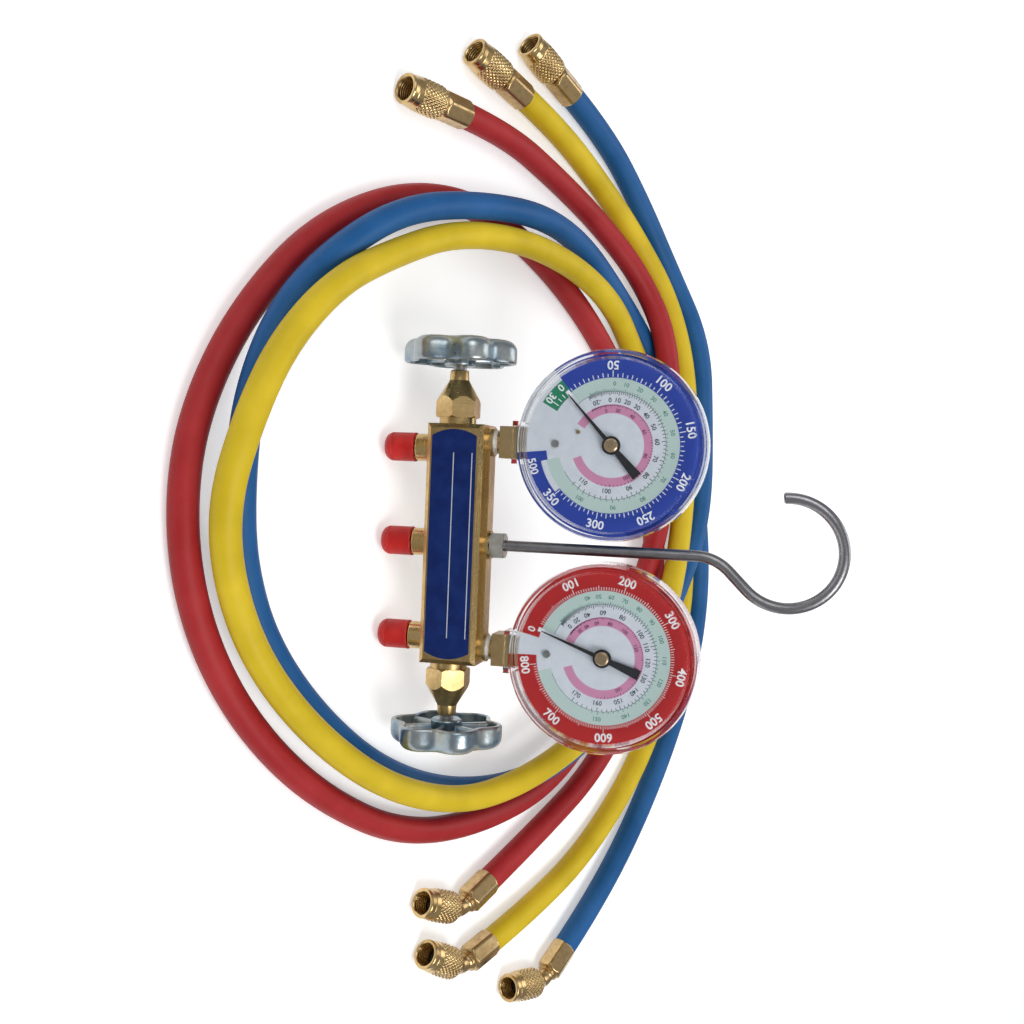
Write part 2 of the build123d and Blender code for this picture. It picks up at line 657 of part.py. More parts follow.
with BuildPart() as pointer_adjusters:
    for side in (-1, 1):
        with BuildSketch(front_at(side * gauge_across, gauge_up - adjuster_drop, dial_front)):
            Circle(adjuster_radius)
        extrude(amount=0.8)
        with BuildSketch(front_at(side * gauge_across, gauge_up - adjuster_drop, dial_front + 0.4)):
            Rectangle(2 * adjuster_radius, 0.5, rotation=35)
        extrude(amount=0.5, mode=Mode.SUBTRACT)
save(pointer_adjusters, "pointer_adjusters")

with BuildPart() as stop_pins:
    for side in (-1, 1):
        with BuildSketch(front_at(side * gauge_across - pin_aside, gauge_up - pin_drop, dial_front)):
            Circle(pin_radius)
        extrude(amount=0.9)
save(stop_pins, "stop_pins")

# ---- hoses with their couplers ----------------------------------------------------------------
hose_rest = hose_radius + floor_gap
end_height = coupler_radius + 2 * floor_gap
flange_end = coupler_length - flare_bore_depth - free_gap
nut_chamber = coupler_length - flare_bore_depth - swivel_chamber_length


def swivel_nut(seat):
    """A knurled flare nut that turns on the flanged tail; its mouth is at the far end."""
    start = free_gap
    turned(seat, [
        (start, coupler_rear_radius), (start, coupler_radius - 0.8), (start + 0.8, coupler_radius),
        (coupler_length - mouth_length, coupler_radius),
        (coupler_length - mouth_length + 0.6, mouth_radius), (coupler_length - 0.8, mouth_radius),
        (coupler_length, mouth_radius - 0.8), (coupler_length, flare_bore_radius),
        (coupler_length - flare_bore_depth, flare_bore_radius),
        (coupler_length - flare_bore_depth, swivel_chamber_radius),
        (nut_chamber, swivel_chamber_radius), (nut_chamber, coupler_rear_radius)])


def flanged_tail(seat, start):
    """The tail that the nut turns on, with its flange inside the nut."""
    turned(seat, [
        (start, tail_bore_radius), (start, tail_radius), (nut_chamber + free_gap, tail_radius),
        (nut_chamber + free_gap, tail_flange_radius), (flange_end, tail_flange_radius),
        (flange_end, tail_bore_radius)])


def ferrule(seat):
    """The crimped sleeve at the hose's end, with six flats."""
    turned(seat, [
        (0, tail_bore_radius), (0, ferrule_flats / 2 + 0.2), (0.8, ferrule_flats / 2 + 1.0),
        (ferrule_length - 1.2, ferrule_flats / 2 + 1.0), (ferrule_length, ferrule_flats / 2 - 0.4),
        (ferrule_length, tail_bore_radius)])
    six_flats(seat, 0, ferrule_length, ferrule_flats)


for colour, route in routes.items():
    points = [Vector(p[0], p[1], end_height if len(p) == 2 else hose_rest + layer_rise * p[2])
              for p in route]
    radii = []
    for before, corner, after in zip(points, points[1:], points[2:]):
        turn = radians((corner - before).get_angle(after - corner))
        shorter = min((corner - before).length, (after - corner).length)
        radii.append(run_share * shorter / tan(turn / 2))
    with BuildPart() as hose:
        with BuildLine() as centre:
            FilletPolyline(*points, radius=radii)
        with BuildSketch(Plane(origin=points[0], z_dir=points[1] - points[0])):
            Circle(hose_radius)
        sweep()
    save(hose, f"{colour}_hose")
    length = centre.wires()[0].length
    print(f"{colour} hose: {length:.0f} mm long, volume {hose.part.volume:.0f} against "
          f"{length * pi * hose_radius ** 2:.0f}, radii", " ".join(f"{r:.0f}" for r in radii))

    outward = (points[0] - points[1]).normalized()
    straight_seat = Plane(origin=points[0], x_dir=outward, z_dir=(0, 0, 1))
    nut_seat = Plane(origin=points[0] + outward * ferrule_length, x_dir=outward, z_dir=(0, 0, 1))
    with BuildPart() as straight_ferrule:
        ferrule(straight_seat)
        flanged_tail(nut_seat, 0)
    save(straight_ferrule, f"{colour}_straight_ferrule")
    with BuildPart() as straight_nut:
        swivel_nut(nut_seat)
    save(straight_nut, f"{colour}_straight_nut")

    outward = (points[-1] - points[-2]).normalized()
    bent_seat = Plane(origin=points[-1], x_dir=outward, z_dir=(0, 0, 1))
    corner_start = points[-1] + outward * ferrule_length
    turned_out = outward.rotate(Axis.Z, -bend_angle)
    with BuildPart() as bent_ferrule:
        ferrule(bent_seat)
        with BuildLine() as elbow:
            lead = Line(corner_start, corner_start + outward * bend_lead)
            corner_arc = JernArc(lead @ 1, lead % 1, bend_radius, -bend_angle)
            Line(corner_arc @ 1, corner_arc @ 1 + turned_out * bend_lead)
        with BuildSketch(Plane(origin=corner_start, z_dir=outward)):
            Circle(tail_radius)
            Circle(tail_bore_radius, mode=Mode.SUBTRACT)
        sweep(path=elbow.wires()[0])
        nut_seat = Plane(origin=elbow.wires()[0] @ 1, x_dir=turned_out, z_dir=(0, 0, 1))
        flanged_tail(nut_seat, 0)
    save(bent_ferrule, f"{colour}_bent_ferrule")
    with BuildPart() as bent_nut:
        swivel_nut(nut_seat)
    save(bent_nut, f"{colour}_bent_nut")
    with BuildPart() as depressor:
        turned(nut_seat, [
            (flange_end - depressor_length, 0), (flange_end - depressor_length, tail_bore_radius),
            (flange_end - depressor_length + 1, tail_bore_radius),
            (flange_end - depressor_length + 1, depressor_radius), (flange_end, depressor_radius),
            (flange_end, 0)])
    save(depressor, f"{colour}_depressor")
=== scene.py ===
"""Refrigerant manifold gauge: finishes, dial print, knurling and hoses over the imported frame."""
import bmesh
import bpy
import json
import numpy as np
from math import cos, pi, radians, sin
from mathutils import Matrix, Vector


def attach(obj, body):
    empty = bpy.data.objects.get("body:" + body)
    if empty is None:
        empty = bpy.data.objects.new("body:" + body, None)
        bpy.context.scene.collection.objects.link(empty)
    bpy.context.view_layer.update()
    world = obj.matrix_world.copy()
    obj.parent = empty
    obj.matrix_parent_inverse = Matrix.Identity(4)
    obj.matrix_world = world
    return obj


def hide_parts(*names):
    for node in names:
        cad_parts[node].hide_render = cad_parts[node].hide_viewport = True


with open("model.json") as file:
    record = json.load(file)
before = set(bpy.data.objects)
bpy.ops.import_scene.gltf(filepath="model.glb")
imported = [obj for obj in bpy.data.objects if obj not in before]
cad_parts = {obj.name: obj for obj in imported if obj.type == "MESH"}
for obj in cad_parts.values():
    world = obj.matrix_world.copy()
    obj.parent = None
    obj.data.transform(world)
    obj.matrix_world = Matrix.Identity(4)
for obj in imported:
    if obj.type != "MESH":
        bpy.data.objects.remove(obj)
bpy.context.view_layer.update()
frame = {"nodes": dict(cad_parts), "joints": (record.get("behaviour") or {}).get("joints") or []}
nodes = frame["nodes"]

# ---- the table and the light --------------------------------------------------------------------
# A plain pale table under the set, lit by three large soft lamps. The camera looks down on the
# dials from the front, turned on its side, so that the hook points to the right of the frame.
turn, dip, tilt = radians(2.061), radians(41.591), radians(3.694)
camera_place = (-0.02993, -0.42107, 0.41443)
ahead = Vector((sin(turn) * cos(dip), cos(turn) * cos(dip), -sin(dip)))
level = Vector((cos(turn), -sin(turn), 0))
above = Vector((sin(turn) * sin(dip), cos(turn) * sin(dip), cos(dip)))
frame_down = level * cos(tilt) + above * sin(tilt)
frame_right = above * cos(tilt) - level * sin(tilt)
lens = bpy.data.cameras.new("camera")
lens.sensor_width = 36
lens.lens = 42.19
lens.clip_start = 0.01
camera = bpy.data.objects.new("camera", lens)
bpy.context.scene.collection.objects.link(camera)
axes = Matrix((frame_right, -frame_down, -ahead)).transposed()
camera.matrix_world = Matrix.Translation(camera_place) @ axes.to_4x4()
bpy.context.scene.camera = camera
bpy.context.scene.view_settings.view_transform = "Standard"


class Wire:
    """One socket of a finish. Arithmetic on it adds the Math nodes that work it out."""

    def __init__(self, finish, socket):
        self.finish, self.socket = finish, socket

    def sum(self, operation, *values):
        return self.finish.node("ShaderNodeMath", {"operation": operation}, dict(enumerate(values)))

    def __add__(self, other): return self.sum("ADD", self, other)
    def __radd__(self, other): return self.sum("ADD", other, self)
    def __mul__(self, other): return self.sum("MULTIPLY", self, other)
    def __rmul__(self, other): return self.sum("MULTIPLY", other, self)
    def __pow__(self, other): return self.sum("POWER", self, other)
    def __rpow__(self, other): return self.sum("POWER", other, self)
    def __gt__(self, other): return self.sum("GREATER_THAN", self, other)
    def __lt__(self, other): return self.sum("LESS_THAN", self, other)


class Finish:
    """A material in the making, round one Principled shader."""

    def __init__(self, name, colour, **sockets):
        self.material = bpy.data.materials.new(name)
        self.material.use_nodes = True
        self.tree = self.material.node_tree
        self.shader = self.tree.nodes["Principled BSDF"]
        self.paint((*colour, 1))
        self.set(**sockets)

    def feed(self, socket, value):
        if isinstance(value, Wire):
            self.tree.links.new(value.socket, socket)
        else:
            socket.default_value = value

    def set(self, **sockets):
        """Feed the shader's sockets, named with _ for each space."""
        for name, value in sockets.items():
            self.feed(self.shader.inputs[name.replace("_", " ")], value)

    def paint(self, colour):
        self.set(Base_Color=colour)

    def node(self, kind, settings=None, inputs=None, output=0):
        """Any node: its settings first, then the values or links of its sockets."""
        made = self.tree.nodes.new(kind)
        for name, value in (settings or {}).items():
            setattr(made, name, value)
        for name, value in (inputs or {}).items():
            self.feed(made.inputs[name], value)
        return Wire(self, made.outputs[output])

    def here(self):
        return self.node("ShaderNodeTexCoord", output="Object")

    def grain(self, scale, detail):
        """Noise in space, about scale lumps to the metre, with so many finer layers."""
        return self.node("ShaderNodeTexNoise", inputs={
            "Vector": self.here(), "Scale": scale, "Detail": detail})

    def blend(self, factor, first, second):
        """The first colour where factor is 0 and the second where it is 1."""
        return self.node("ShaderNodeMix", {"data_type": "RGBA"}, {
            0: factor, 6: first if isinstance(first, Wire) else (*first, 1),
            7: second if isinstance(second, Wire) else (*second, 1)}, output=2)

    def limits(self, value, low, high, to_low=0.0, to_high=1.0):
        """The value's run from low to high, spread from to_low to to_high and held there."""
        return self.node("ShaderNodeMapRange", inputs={
            0: value, 1: low, 2: high, 3: to_low, 4: to_high})

    def bump(self, height, distance):
        """Relief of so many metres at height 1."""
        self.set(Normal=self.node("ShaderNodeBump", inputs={
            "Height": height, "Distance": distance, "Strength": 1.0}))


half_table = 3.0
table_mesh = bpy.data.meshes.new("table_top")
table_mesh.from_pydata([
    (-half_table, -half_table, 0), (half_table, -half_table, 0),
    (half_table, half_table, 0), (-half_table, half_table, 0)], [], [(0, 1, 2, 3)])
table = bpy.data.objects.new("table_top", table_mesh)
bpy.context.scene.collection.objects.link(table)
pale = Finish("pale_table", (0.86, 0.86, 0.86), Roughness=0.75)
camera_ray, glossy_ray, clear_ray = [
    pale.node("ShaderNodeLightPath", output=f"Is {kind} Ray")
    for kind in ("Camera", "Glossy", "Transmission")]
seen = pale.node("ShaderNodeMath", {"operation": "MAXIMUM"}, {
    0: camera_ray, 1: glossy_ray.sum("MAXIMUM", glossy_ray, clear_ray)})
pale.set(Emission_Color=(1, 1, 1, 1), Emission_Strength=seen * 0.40)
table_mesh.materials.append(pale.material)


def soft_lamp(name, place, aim, size, power):
    """A round lamp of a width in metres, turned to face its aim."""
    light = bpy.data.lights.new(name, "AREA")
    light.shape, light.size, light.energy = "DISK", size, power
    lamp = bpy.data.objects.new(name, light)
    bpy.context.scene.collection.objects.link(lamp)
    lamp.location = place
    lamp.rotation_euler = (Vector(aim) - Vector(place)).to_track_quat("-Z", "Y").to_euler()


soft_lamp("key_lamp", (0.55, -0.25, 1.15), (0, 0, 0.05), 0.7, 8)
soft_lamp("fill_lamp", (-0.75, -0.7, 0.9), (0, 0, 0.05), 0.9, 4.2)
soft_lamp("rear_lamp", (-0.2, 1.0, 0.9), (0, 0, 0.08), 0.9, 4.2)
world = bpy.data.worlds.new("room")
bpy.context.scene.world = world
world.use_nodes = True
room_light = world.node_tree.nodes["Background"].inputs
room_light["Color"].default_value = (0.9, 0.92, 0.95, 1)
room_light["Strength"].default_value = 0.36

# ---- charging hoses -----------------------------------------------------------------------------
# Three rubber charging hoses, red, yellow and blue, 12.7 mm across. Each is a plain extruded tube
# with a matt skin, and lies round the manifold as it was put down, over and under the other two.
hose_radius = 0.00635
on_table = 6.4            # height of a hose's middle on the table, in millimetres
on_hose = 13.3            # from there to one that crosses over it
on_coupler = 8.1          # height of a coupler's middle, which lifts the hose's ends
hose_lays = {
    "red": ((0.40, 0.016, 0.019), 1.51, [
        (-203, -12), (-201, 21), (-188, 63, 0), (-172, 101, 0), (-148, 132, .45),
        (-113, 150, 1.12), (-60, 157, 1.05), (-4, 154, .9), (50, 144, 0), (96, 120, 0),
        (133, 78, 0), (144, 24, 0), (140, -30, 0), (115, -79, 0), (83, -116, 0),
        (46, -142, 0), (7, -155, 0), (-32, -156, 0), (-66, -146, 0), (-100, -126, 0),
        (-134, -94, 0), (-158, -48, 0), (-164, 2, 0), (-145, 54, 0), (-114, 101, 0),
        (-72, 139, 0), (-21, 163, 0), (32, 169, 0), (85, 157, 0), (131, 118, 0),
        (157, 67), (176, 27)]),
    "yellow": ((0.70, 0.50, 0.010), 1.52, [
        (-223, 30), (-213, 60), (-194, 98, 0), (-171, 133, 0), (-137, 159, .6),
        (-96, 172, 1), (-52, 176, 1), (2, 168, 1.3), (45, 142, 2), (82, 108, 2),
        (105, 68, 2), (121, 28, 1.6), (126, -7, 1), (111, -54, 1), (83, -95, 1),
        (50, -126, 1), (17, -142, 1), (-16, -151, 1.5), (-50, -146, 2.1), (-80, -131, 2.1),
        (-107, -105, 2), (-126, -66, 1.2), (-143, -25, 1), (-148, 23, 1.02), (-141, 66, 1.05),
        (-127, 104, .75), (-104, 137, .05), (-78, 162, 0), (-40, 183, 0), (0, 196, 0),
        (40, 200, 0), (88, 186, 0), (138, 157, 0), (177, 112, 0), (197, 65), (208, 30)]),
    "blue": ((0.007, 0.100, 0.30), 1.53, [
        (-234, 68), (-219, 100), (-191, 136, 0), (-157, 166, .1), (-115, 186, 1),
        (-68, 192, 1), (-22, 195, 1), (14, 184, 1), (54, 156, 1), (90, 120, 1),
        (116, 78, .9), (128, 40, .3), (123, -7, 0), (105, -50, 0), (76, -87, 0),
        (43, -114, 0), (9, -129, .2), (-25, -138, .9), (-60, -136, 1), (-96, -121, 1),
        (-125, -92.5, 1), (-148.5, -55.5, 1), (-159.5, -8, 1), (-163, 38, .95), (-157, 82, .25),
        (-138, 116, 0), (-112, 148, 0), (-84, 175, 0), (-52, 197, 0), (-3, 214, 0),
        (47, 217, 0), (96, 204, 0), (152, 172, 0), (202, 126.7), (228, 92)]),
}


def route_points(lay):
    """A lay's points in metres: across, back, and the height that its layer gives.

    A point without a layer is on the run of a coupler, and has a coupler's height.
    """
    return [Vector((p[0], p[1], on_coupler if len(p) == 2 else on_table + on_hose * p[2])) / 1000
            for p in lay]


def rubber(name, colour):
    """Extruded rubber: a matt skin, faintly mottled, with a soft sheen that follows the mottle."""
    skin = Finish(name, colour, Specular_IOR_Level=0.25)
    mottle = skin.grain(38, 4)
    fine = skin.grain(900, 2)
    dark = tuple(part * 0.86 for part in colour)
    light = tuple(min(1, part * 1.08 + 0.012) for part in colour)
    skin.paint(skin.blend(skin.limits(mottle, 0.3, 0.7), dark, light))
    skin.set(Roughness=skin.limits(mottle + fine * 0.4, 0.35, 1.0, 0.40, 0.60))
    skin.bump(fine + mottle * 2, 0.00006)
    return skin.material


hoses = {}
for colour, (paint, length, lay) in hose_lays.items():
    points = route_points(lay)
    tube = bpy.data.curves.new(f"{colour}_rubber_hose", "CURVE")
    tube.dimensions = "3D"
    tube.bevel_depth = hose_radius
    tube.bevel_resolution = 7
    tube.resolution_u = 14
    tube.use_fill_caps = True
    line = tube.splines.new("NURBS")
    line.points.add(len(points) - 1)
    for control, point in zip(line.points, points):
        control.co = (*point, 1)
    line.order_u = 3
    line.use_endpoint_u = True
    hose = bpy.data.objects.new(f"{colour}_rubber_hose", tube)
    bpy.context.scene.collection.objects.link(hose)
    tube.materials.append(rubber(f"{colour}_rubber", paint))
    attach(hose, "manifold")
    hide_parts(f"{colour}_hose")
    hoses[colour] = (hose, points, length)

# ---- manifold block and label -------------------------------------------------------------------
# A block of drawn brass bar, bored through for the two valves, with a rail along its rear edge
# that carries three bosses. A navy aluminium label is stuck in a shallow recess in its front.
lean = radians(28.6)          # the block leans back by this much on its port caps
along_block, to_hook, to_viewer = (
    Vector((1, 0, 0)), Vector((0, sin(lean), cos(lean))), Vector((0, -cos(lean), sin(lean))))
block_middle = Vector((0, -0.029508, 0.031595))
block_axes = np.array([along_block, to_hook, to_viewer])
block_turn = (pi / 2 - lean, 0, 0)
label_face = 12.2             # millimetres out from the block's middle


def on_block(across, up):
    """Block middle plus so many millimetres along it and so many towards the hook."""
    return block_middle + (along_block * across + to_hook * up) / 1000


def local(finish, place, turned_by):
    """Coordinates about a place, in metres, with axes turned by these angles from the room's."""
    return finish.node("ShaderNodeMapping", {"vector_type": "TEXTURE"}, {
        "Vector": finish.here(), "Location": tuple(place), "Rotation": turned_by})


def lines_on(finish, vector, scale, stretch):
    """Fine lines: noise drawn out along the axes whose stretch is small."""
    drawn = finish.node("ShaderNodeVectorMath", {"operation": "MULTIPLY"}, {0: vector, 1: stretch})
    return finish.node("ShaderNodeTexNoise", inputs={"Vector": drawn, "Scale": scale, "Detail": 2.0})


def metal(name, bright, dull, smooth, place=(0, 0, 0), turned_by=(0, 0, 0),
          stretch=(0.02, 1, 1), marks=2200, depth=0.000012):
    """Bare or plated metal, from its bright and its tarnished colour and its least roughness.

    Tool marks run along one way of the axes at a place, so many to the metre and so deep. Cloudy
    tarnish covers it, and the roughness follows both.
    """
    finish = Finish(name, bright, Metallic=1.0)
    cloud = finish.grain(55, 4)
    speck = finish.grain(420, 2)
    scratch = lines_on(finish, local(finish, place, turned_by), marks, stretch)
    tarnish = finish.limits(cloud + speck * 0.35, 0.52, 0.92)
    finish.paint(finish.blend(tarnish, bright, dull))
    finish.set(Roughness=finish.limits(scratch + tarnish * 0.5, 0.3, 1.0, smooth, smooth + 0.17))
    finish.bump(scratch, depth)
    return finish.material


def even_coat(name, colour, rough, patches=900, fine=1500, **sockets):
    """Ink, lacquer or rubber of one colour, with a roughness that wavers between two values."""
    coat = Finish(name, colour, **sockets)
    coat.set(Roughness=coat.limits(coat.grain(patches, 2), 0.3, 0.7, *rough))
    coat.bump(coat.grain(fine, 2), 0.00001)
    return coat.material


def patchy(finish, cloud, first, second, rough):
    """Paint two close colours in a cloud's patches, with a roughness that follows them."""
    colour = finish.blend(finish.limits(cloud, 0.35, 0.7), first, second)
    finish.paint(colour)
    finish.set(Roughness=finish.limits(cloud, 0.3, 0.7, *rough))
    return colour


def dress(material, *names):
    """Give CAD pieces their finish."""
    for name in names:
        for slot in nodes[name].material_slots:
            slot.material = material


dress(metal("drawn_brass", (0.62, 0.44, 0.19), (0.38, 0.24, 0.09), 0.20, block_middle, block_turn),
      "manifold_body")
label_ink = Finish("label_navy_ink", (0.004, 0.020, 0.130), Specular_IOR_Level=0.22)
patchy(label_ink, label_ink.grain(160, 3),
       (0.003, 0.016, 0.110), (0.006, 0.026, 0.155), (0.28, 0.42))
label_ink.bump(label_ink.grain(1500, 2), 0.00001)
dress(label_ink.material, "label_plate")


def mesh_piece(name, points, faces, material, body, slot, smooth=False):
    """A piece from its points in metres, riding on a body."""
    mesh = bpy.data.meshes.new(name)
    mesh.from_pydata(points.tolist(), [], faces)
    mesh.polygons.foreach_set("use_smooth", [smooth] * len(mesh.polygons))
    mesh.materials.append(material)
    mesh.update()
    piece = bpy.data.objects.new(name, mesh)
    bpy.context.scene.collection.objects.link(piece)
    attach(piece, body)
    return piece


def slabs(corners, low, high):
    """Thin slabs from four-cornered outlines on the block's face.

    corners is an array of N outlines by 4 corners by (across, up), anticlockwise to the viewer.
    Each becomes eight points, four at the height low and four at high, and six faces.
    """
    corners = np.asarray(corners, float)
    count = len(corners)
    heights = np.broadcast_to(np.array([low, high])[None, :, None, None], (count, 2, 4, 1))
    outlines = np.broadcast_to(corners[:, None], (count, 2, 4, 2))
    flat = np.concatenate([outlines, heights], axis=3).reshape(-1, 3)
    points = np.array(block_middle) + flat @ block_axes / 1000
    sides = [(3, 2, 1, 0), (4, 5, 6, 7), (0, 1, 5, 4), (1, 2, 6, 5), (2, 3, 7, 6), (3, 0, 4, 7)]
    faces = np.array(sides)[None] + 8 * np.arange(count)[:, None, None]
    return points, faces.reshape(-1, 4).tolist()


pale_line = even_coat("label_pale_line", (0.62, 0.66, 0.72), (0.34, 0.48), Metallic=0.3)
line_start, line_end, half_line = -41, 42, 0.22
rules = [[(line_start, up - half_line), (line_end, up - half_line),
          (line_end, up + half_line), (line_start, up + half_line)] for up in (2.0, 10.5)]
mesh_piece("label_lines", *slabs(rules, label_face - 0.05, label_face + 0.03),
           pale_line, "manifold", "label_navy")

# ---- flare ports and their caps -----------------------------------------------------------------
# Three brass flare fittings pressed and soldered into the block's lower face: a turned collar, a
# fine male thread and a cone that the hose seals on. Each wears a soft red push-on cap.
port_spacing, port_face = 43.1, -11.0
press_depth, press_radius, port_bore = 5.0, 4.8, 2.4
collar_radius, collar_length = 6.25, 7.6
thread_root, thread_crest, thread_pitch = 4.95, 5.48, 1.27
thread_start, thread_end, cone_end, cone_tip = 8.4, 18.0, 20.4, 3.4
cap_radius, cap_bore, cap_lip, cap_floor, cap_round, cap_shoulder = 6.6, 5.55, 7.9, 20.9, 3.9, 18.7
cap_middle = 0.4              # radius at which a cap's ends close


def ring_faces(rings, round_, closed=False):
    """Quads between neighbouring rings of points, and from the last to the first if closed."""
    row = np.arange(rings if closed else rings - 1)[:, None]
    step = np.arange(round_)[None]
    upper, beside = (row + 1) % rings, (step + 1) % round_
    corners = (row * round_ + step, row * round_ + beside,
               upper * round_ + beside, upper * round_ + step)
    return np.stack(np.broadcast_arrays(*corners), -1).reshape(-1, 4).tolist()


def lathe(name, along, radii, seat, axis, material, body, slot, closed=False, first=None):
    """A turned piece from rings of points about an axis.

    along holds each ring's distance in millimetres, one number a ring or one for every point, and
    radii is an array of rings by points round. Point j of ring i lies at seat + along * axis +
    radius * (cos a * first + sin a * second), with a = 2 pi j / points round. The open ends close
    on the axis with a fan, and a closed profile joins its last ring to its first.
    """
    rings, round_ = radii.shape
    along = np.broadcast_to(np.asarray(along, float).reshape(rings, -1), radii.shape)
    axis = Vector(axis).normalized()
    first = Vector(first) if first else axis.orthogonal().normalized()
    second = axis.cross(first)
    angle = 2 * pi * np.arange(round_) / round_
    spoke = np.cos(angle)[:, None] * np.array(first) + np.sin(angle)[:, None] * np.array(second)
    points = np.array(seat) + (along[..., None] * np.array(axis) + radii[..., None] * spoke) / 1000
    points = points.reshape(-1, 3)
    faces = ring_faces(rings, round_, closed)
    if not closed:
        ends = along[[0, -1], 0][:, None] * np.array(axis) / 1000 + np.array(seat)
        points = np.vstack([points, ends])
        low_end, high_end, last = rings * round_, rings * round_ + 1, (rings - 1) * round_
        faces += [(low_end, (j + 1) % round_, j) for j in range(round_)]
        faces += [(high_end, last + j, last + (j + 1) % round_) for j in range(round_)]
    return mesh_piece(name, points, faces, material, body, slot, smooth=True)


def ramp(corners, step):
    """Distances and radii along a profile of straight runs, no further apart than a step."""
    along, radius = [corners[0][0]], [corners[0][1]]
    for (a, ra), (b, rb) in zip(corners, corners[1:]):
        parts = max(1, int(np.ceil(max(abs(b - a), abs(rb - ra)) / step)))
        share = np.arange(1, parts + 1) / parts
        along += list(a + (b - a) * share)
        radius += list(ra + (rb - ra) * share)
    return np.array(along), np.array(radius)


def zigzag(turns):
    """A wave of straight flanks that is 1 at whole turns and 0 half way between."""
    return np.abs(2 * (turns - np.floor(turns)) - 1)


def threaded(along, radius, start, end, root, round_, pitch=thread_pitch):
    """Radii of a profile whose stretch from start to end bears a single-start thread.

    The thread lifts the radius from its root by the profile's rise above it, times a zigzag of
    along / pitch less the share of a turn, so that its crest climbs one pitch each time round.
    """
    turn_share = np.arange(round_)[None, :] / round_
    plain = np.repeat(radius[:, None], round_, 1)
    cut = (along > start) & (along < end)
    wave = zigzag(along[:, None] / pitch - turn_share)
    return np.where(cut[:, None], root + (plain - root) * wave, plain)


port_brass = metal("turned_port_brass", (0.84, 0.62, 0.30), (0.58, 0.38, 0.15), 0.16,
                   block_middle, block_turn, (0.02, 1, 0.02), 2600, 0.00002)
vinyl = Finish("red_cap_vinyl", (0.60, 0.012, 0.010), Subsurface_Weight=0.05, Subsurface_Scale=0.002)
vinyl_cloud = vinyl.grain(120, 3)
patchy(vinyl, vinyl_cloud, (0.50, 0.008, 0.007), (0.68, 0.020, 0.016), (0.36, 0.52))
vinyl.bump(vinyl_cloud + vinyl.grain(1400, 2) * 0.4, 0.00003)

fitting_along, fitting_radius = ramp([
    (-press_depth, port_bore), (-press_depth, press_radius), (0, press_radius),
    (0, collar_radius - 0.3), (0.3, collar_radius), (collar_length - 0.5, collar_radius),
    (collar_length, collar_radius - 0.5), (collar_length, press_radius),
    (thread_start, press_radius), (thread_start, thread_crest), (thread_end, thread_crest),
    (cone_end, cone_tip), (cone_end, port_bore)], 0.18)
fitting_radii = threaded(
    fitting_along, fitting_radius, thread_start + 0.1, thread_end - 0.1, thread_root, 64)
dome = [(cap_shoulder + cap_round * sin(a), cap_radius - cap_round + cap_round * cos(a))
        for a in np.radians(np.arange(0, 91, 9))]
cap_along, cap_profile = ramp([
    (cap_floor, cap_middle), (cap_floor, 5.0), (20.3, cap_bore), (8.1, cap_bore), (cap_lip, 5.8),
    (7.95, 6.55), (8.5, 6.75), (9.1, 6.62), (cap_shoulder, cap_radius)] + dome + [
    (cap_shoulder + cap_round, cap_middle)], 0.4)
cap_radii = np.repeat(cap_profile[:, None], 72, 1)
for port, across in (("low", -port_spacing), ("center", 0), ("high", port_spacing)):
    seat = on_block(across, port_face)
    fitting = lathe(f"{port}_flare_fitting", fitting_along, fitting_radii, seat, -to_hook,
                    port_brass, "manifold", "brass", closed=True)
    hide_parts(f"{port}_port_flare")
    cap = lathe(f"{port}_vinyl_cap", cap_along, cap_radii, seat, -to_hook,
                vinyl.material, f"{port}_cap", "cap_red")
    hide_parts(f"{port}_port_cap")

# ---- valves: bonnets, stems and handwheels ------------------------------------------------------
# A hexagonal brass bonnet screws into each end of the block and tapers to a neck. A steel stem
# runs through it, sealed by a rubber ring, and carries a die-cast wheel with six lobes, plated
# a bluish bright, held by a domed screw.
bonnet_brass = metal("bonnet_brass", (0.68, 0.49, 0.22), (0.42, 0.27, 0.11), 0.22,
                     block_middle, block_turn, (1, 0.03, 0.03), 2000, 0.000004)
dress(bonnet_brass, "low_valve_bonnet", "high_valve_bonnet")
dress(metal("stem_steel", (0.56, 0.55, 0.53), (0.36, 0.34, 0.31), 0.22, stretch=(1, 0.03, 0.03)),
      "low_valve_stem", "high_valve_stem")
dress(metal("wheel_screw_steel", (0.62, 0.62, 0.62), (0.40, 0.39, 0.37), 0.18),
      "low_wheel_screw", "high_wheel_screw")
ring_rubber = even_coat("ring_rubber", (0.012, 0.012, 0.012), (0.45, 0.65), 800, 1800)
dress(ring_rubber, "stem_seals")


def plated(name):
    """Bright zinc on a die casting: pebbled, tinted blue and straw in patches, with dark speckles of painted
    shade that stand in for dents.
    """
    finish = Finish(name, (0.36, 0.41, 0.45), Metallic=1.0)
    cloud = finish.grain(70, 4)
    pebble_and_shade = finish.grain(380, 3)
    tint = finish.blend(finish.limits(cloud, 0.38, 0.62), (0.26, 0.34, 0.40), (0.46, 0.48, 0.46))
    # Painted shade: the pebble noise darkens the colour in speckles, as if its dents lay in shade; the same
    # noise gives the relief and roughness.
    finish.paint(finish.blend(finish.limits(pebble_and_shade, 0.62, 0.8), tint, (0.20, 0.23, 0.26)))
    finish.set(Roughness=finish.limits(pebble_and_shade + cloud * 0.5, 0.5, 1.1, 0.26, 0.44))
    finish.bump(pebble_and_shade + cloud, 0.00010)
    return finish.material


wheel_round, lobes, wheel_seat = 360, 6, 81.5
lobe_radius, valley_depth, rim_thickness = 26, 4.4, 2.3
rim_end, dome_start, dome_rise, dome_inset = 0.6, 6, 5, 5.5
hub_radius, hollow_floor = 7.0, 7.5
web_rise, web_foot, web_flank = 6.3, 2.55, 1.5


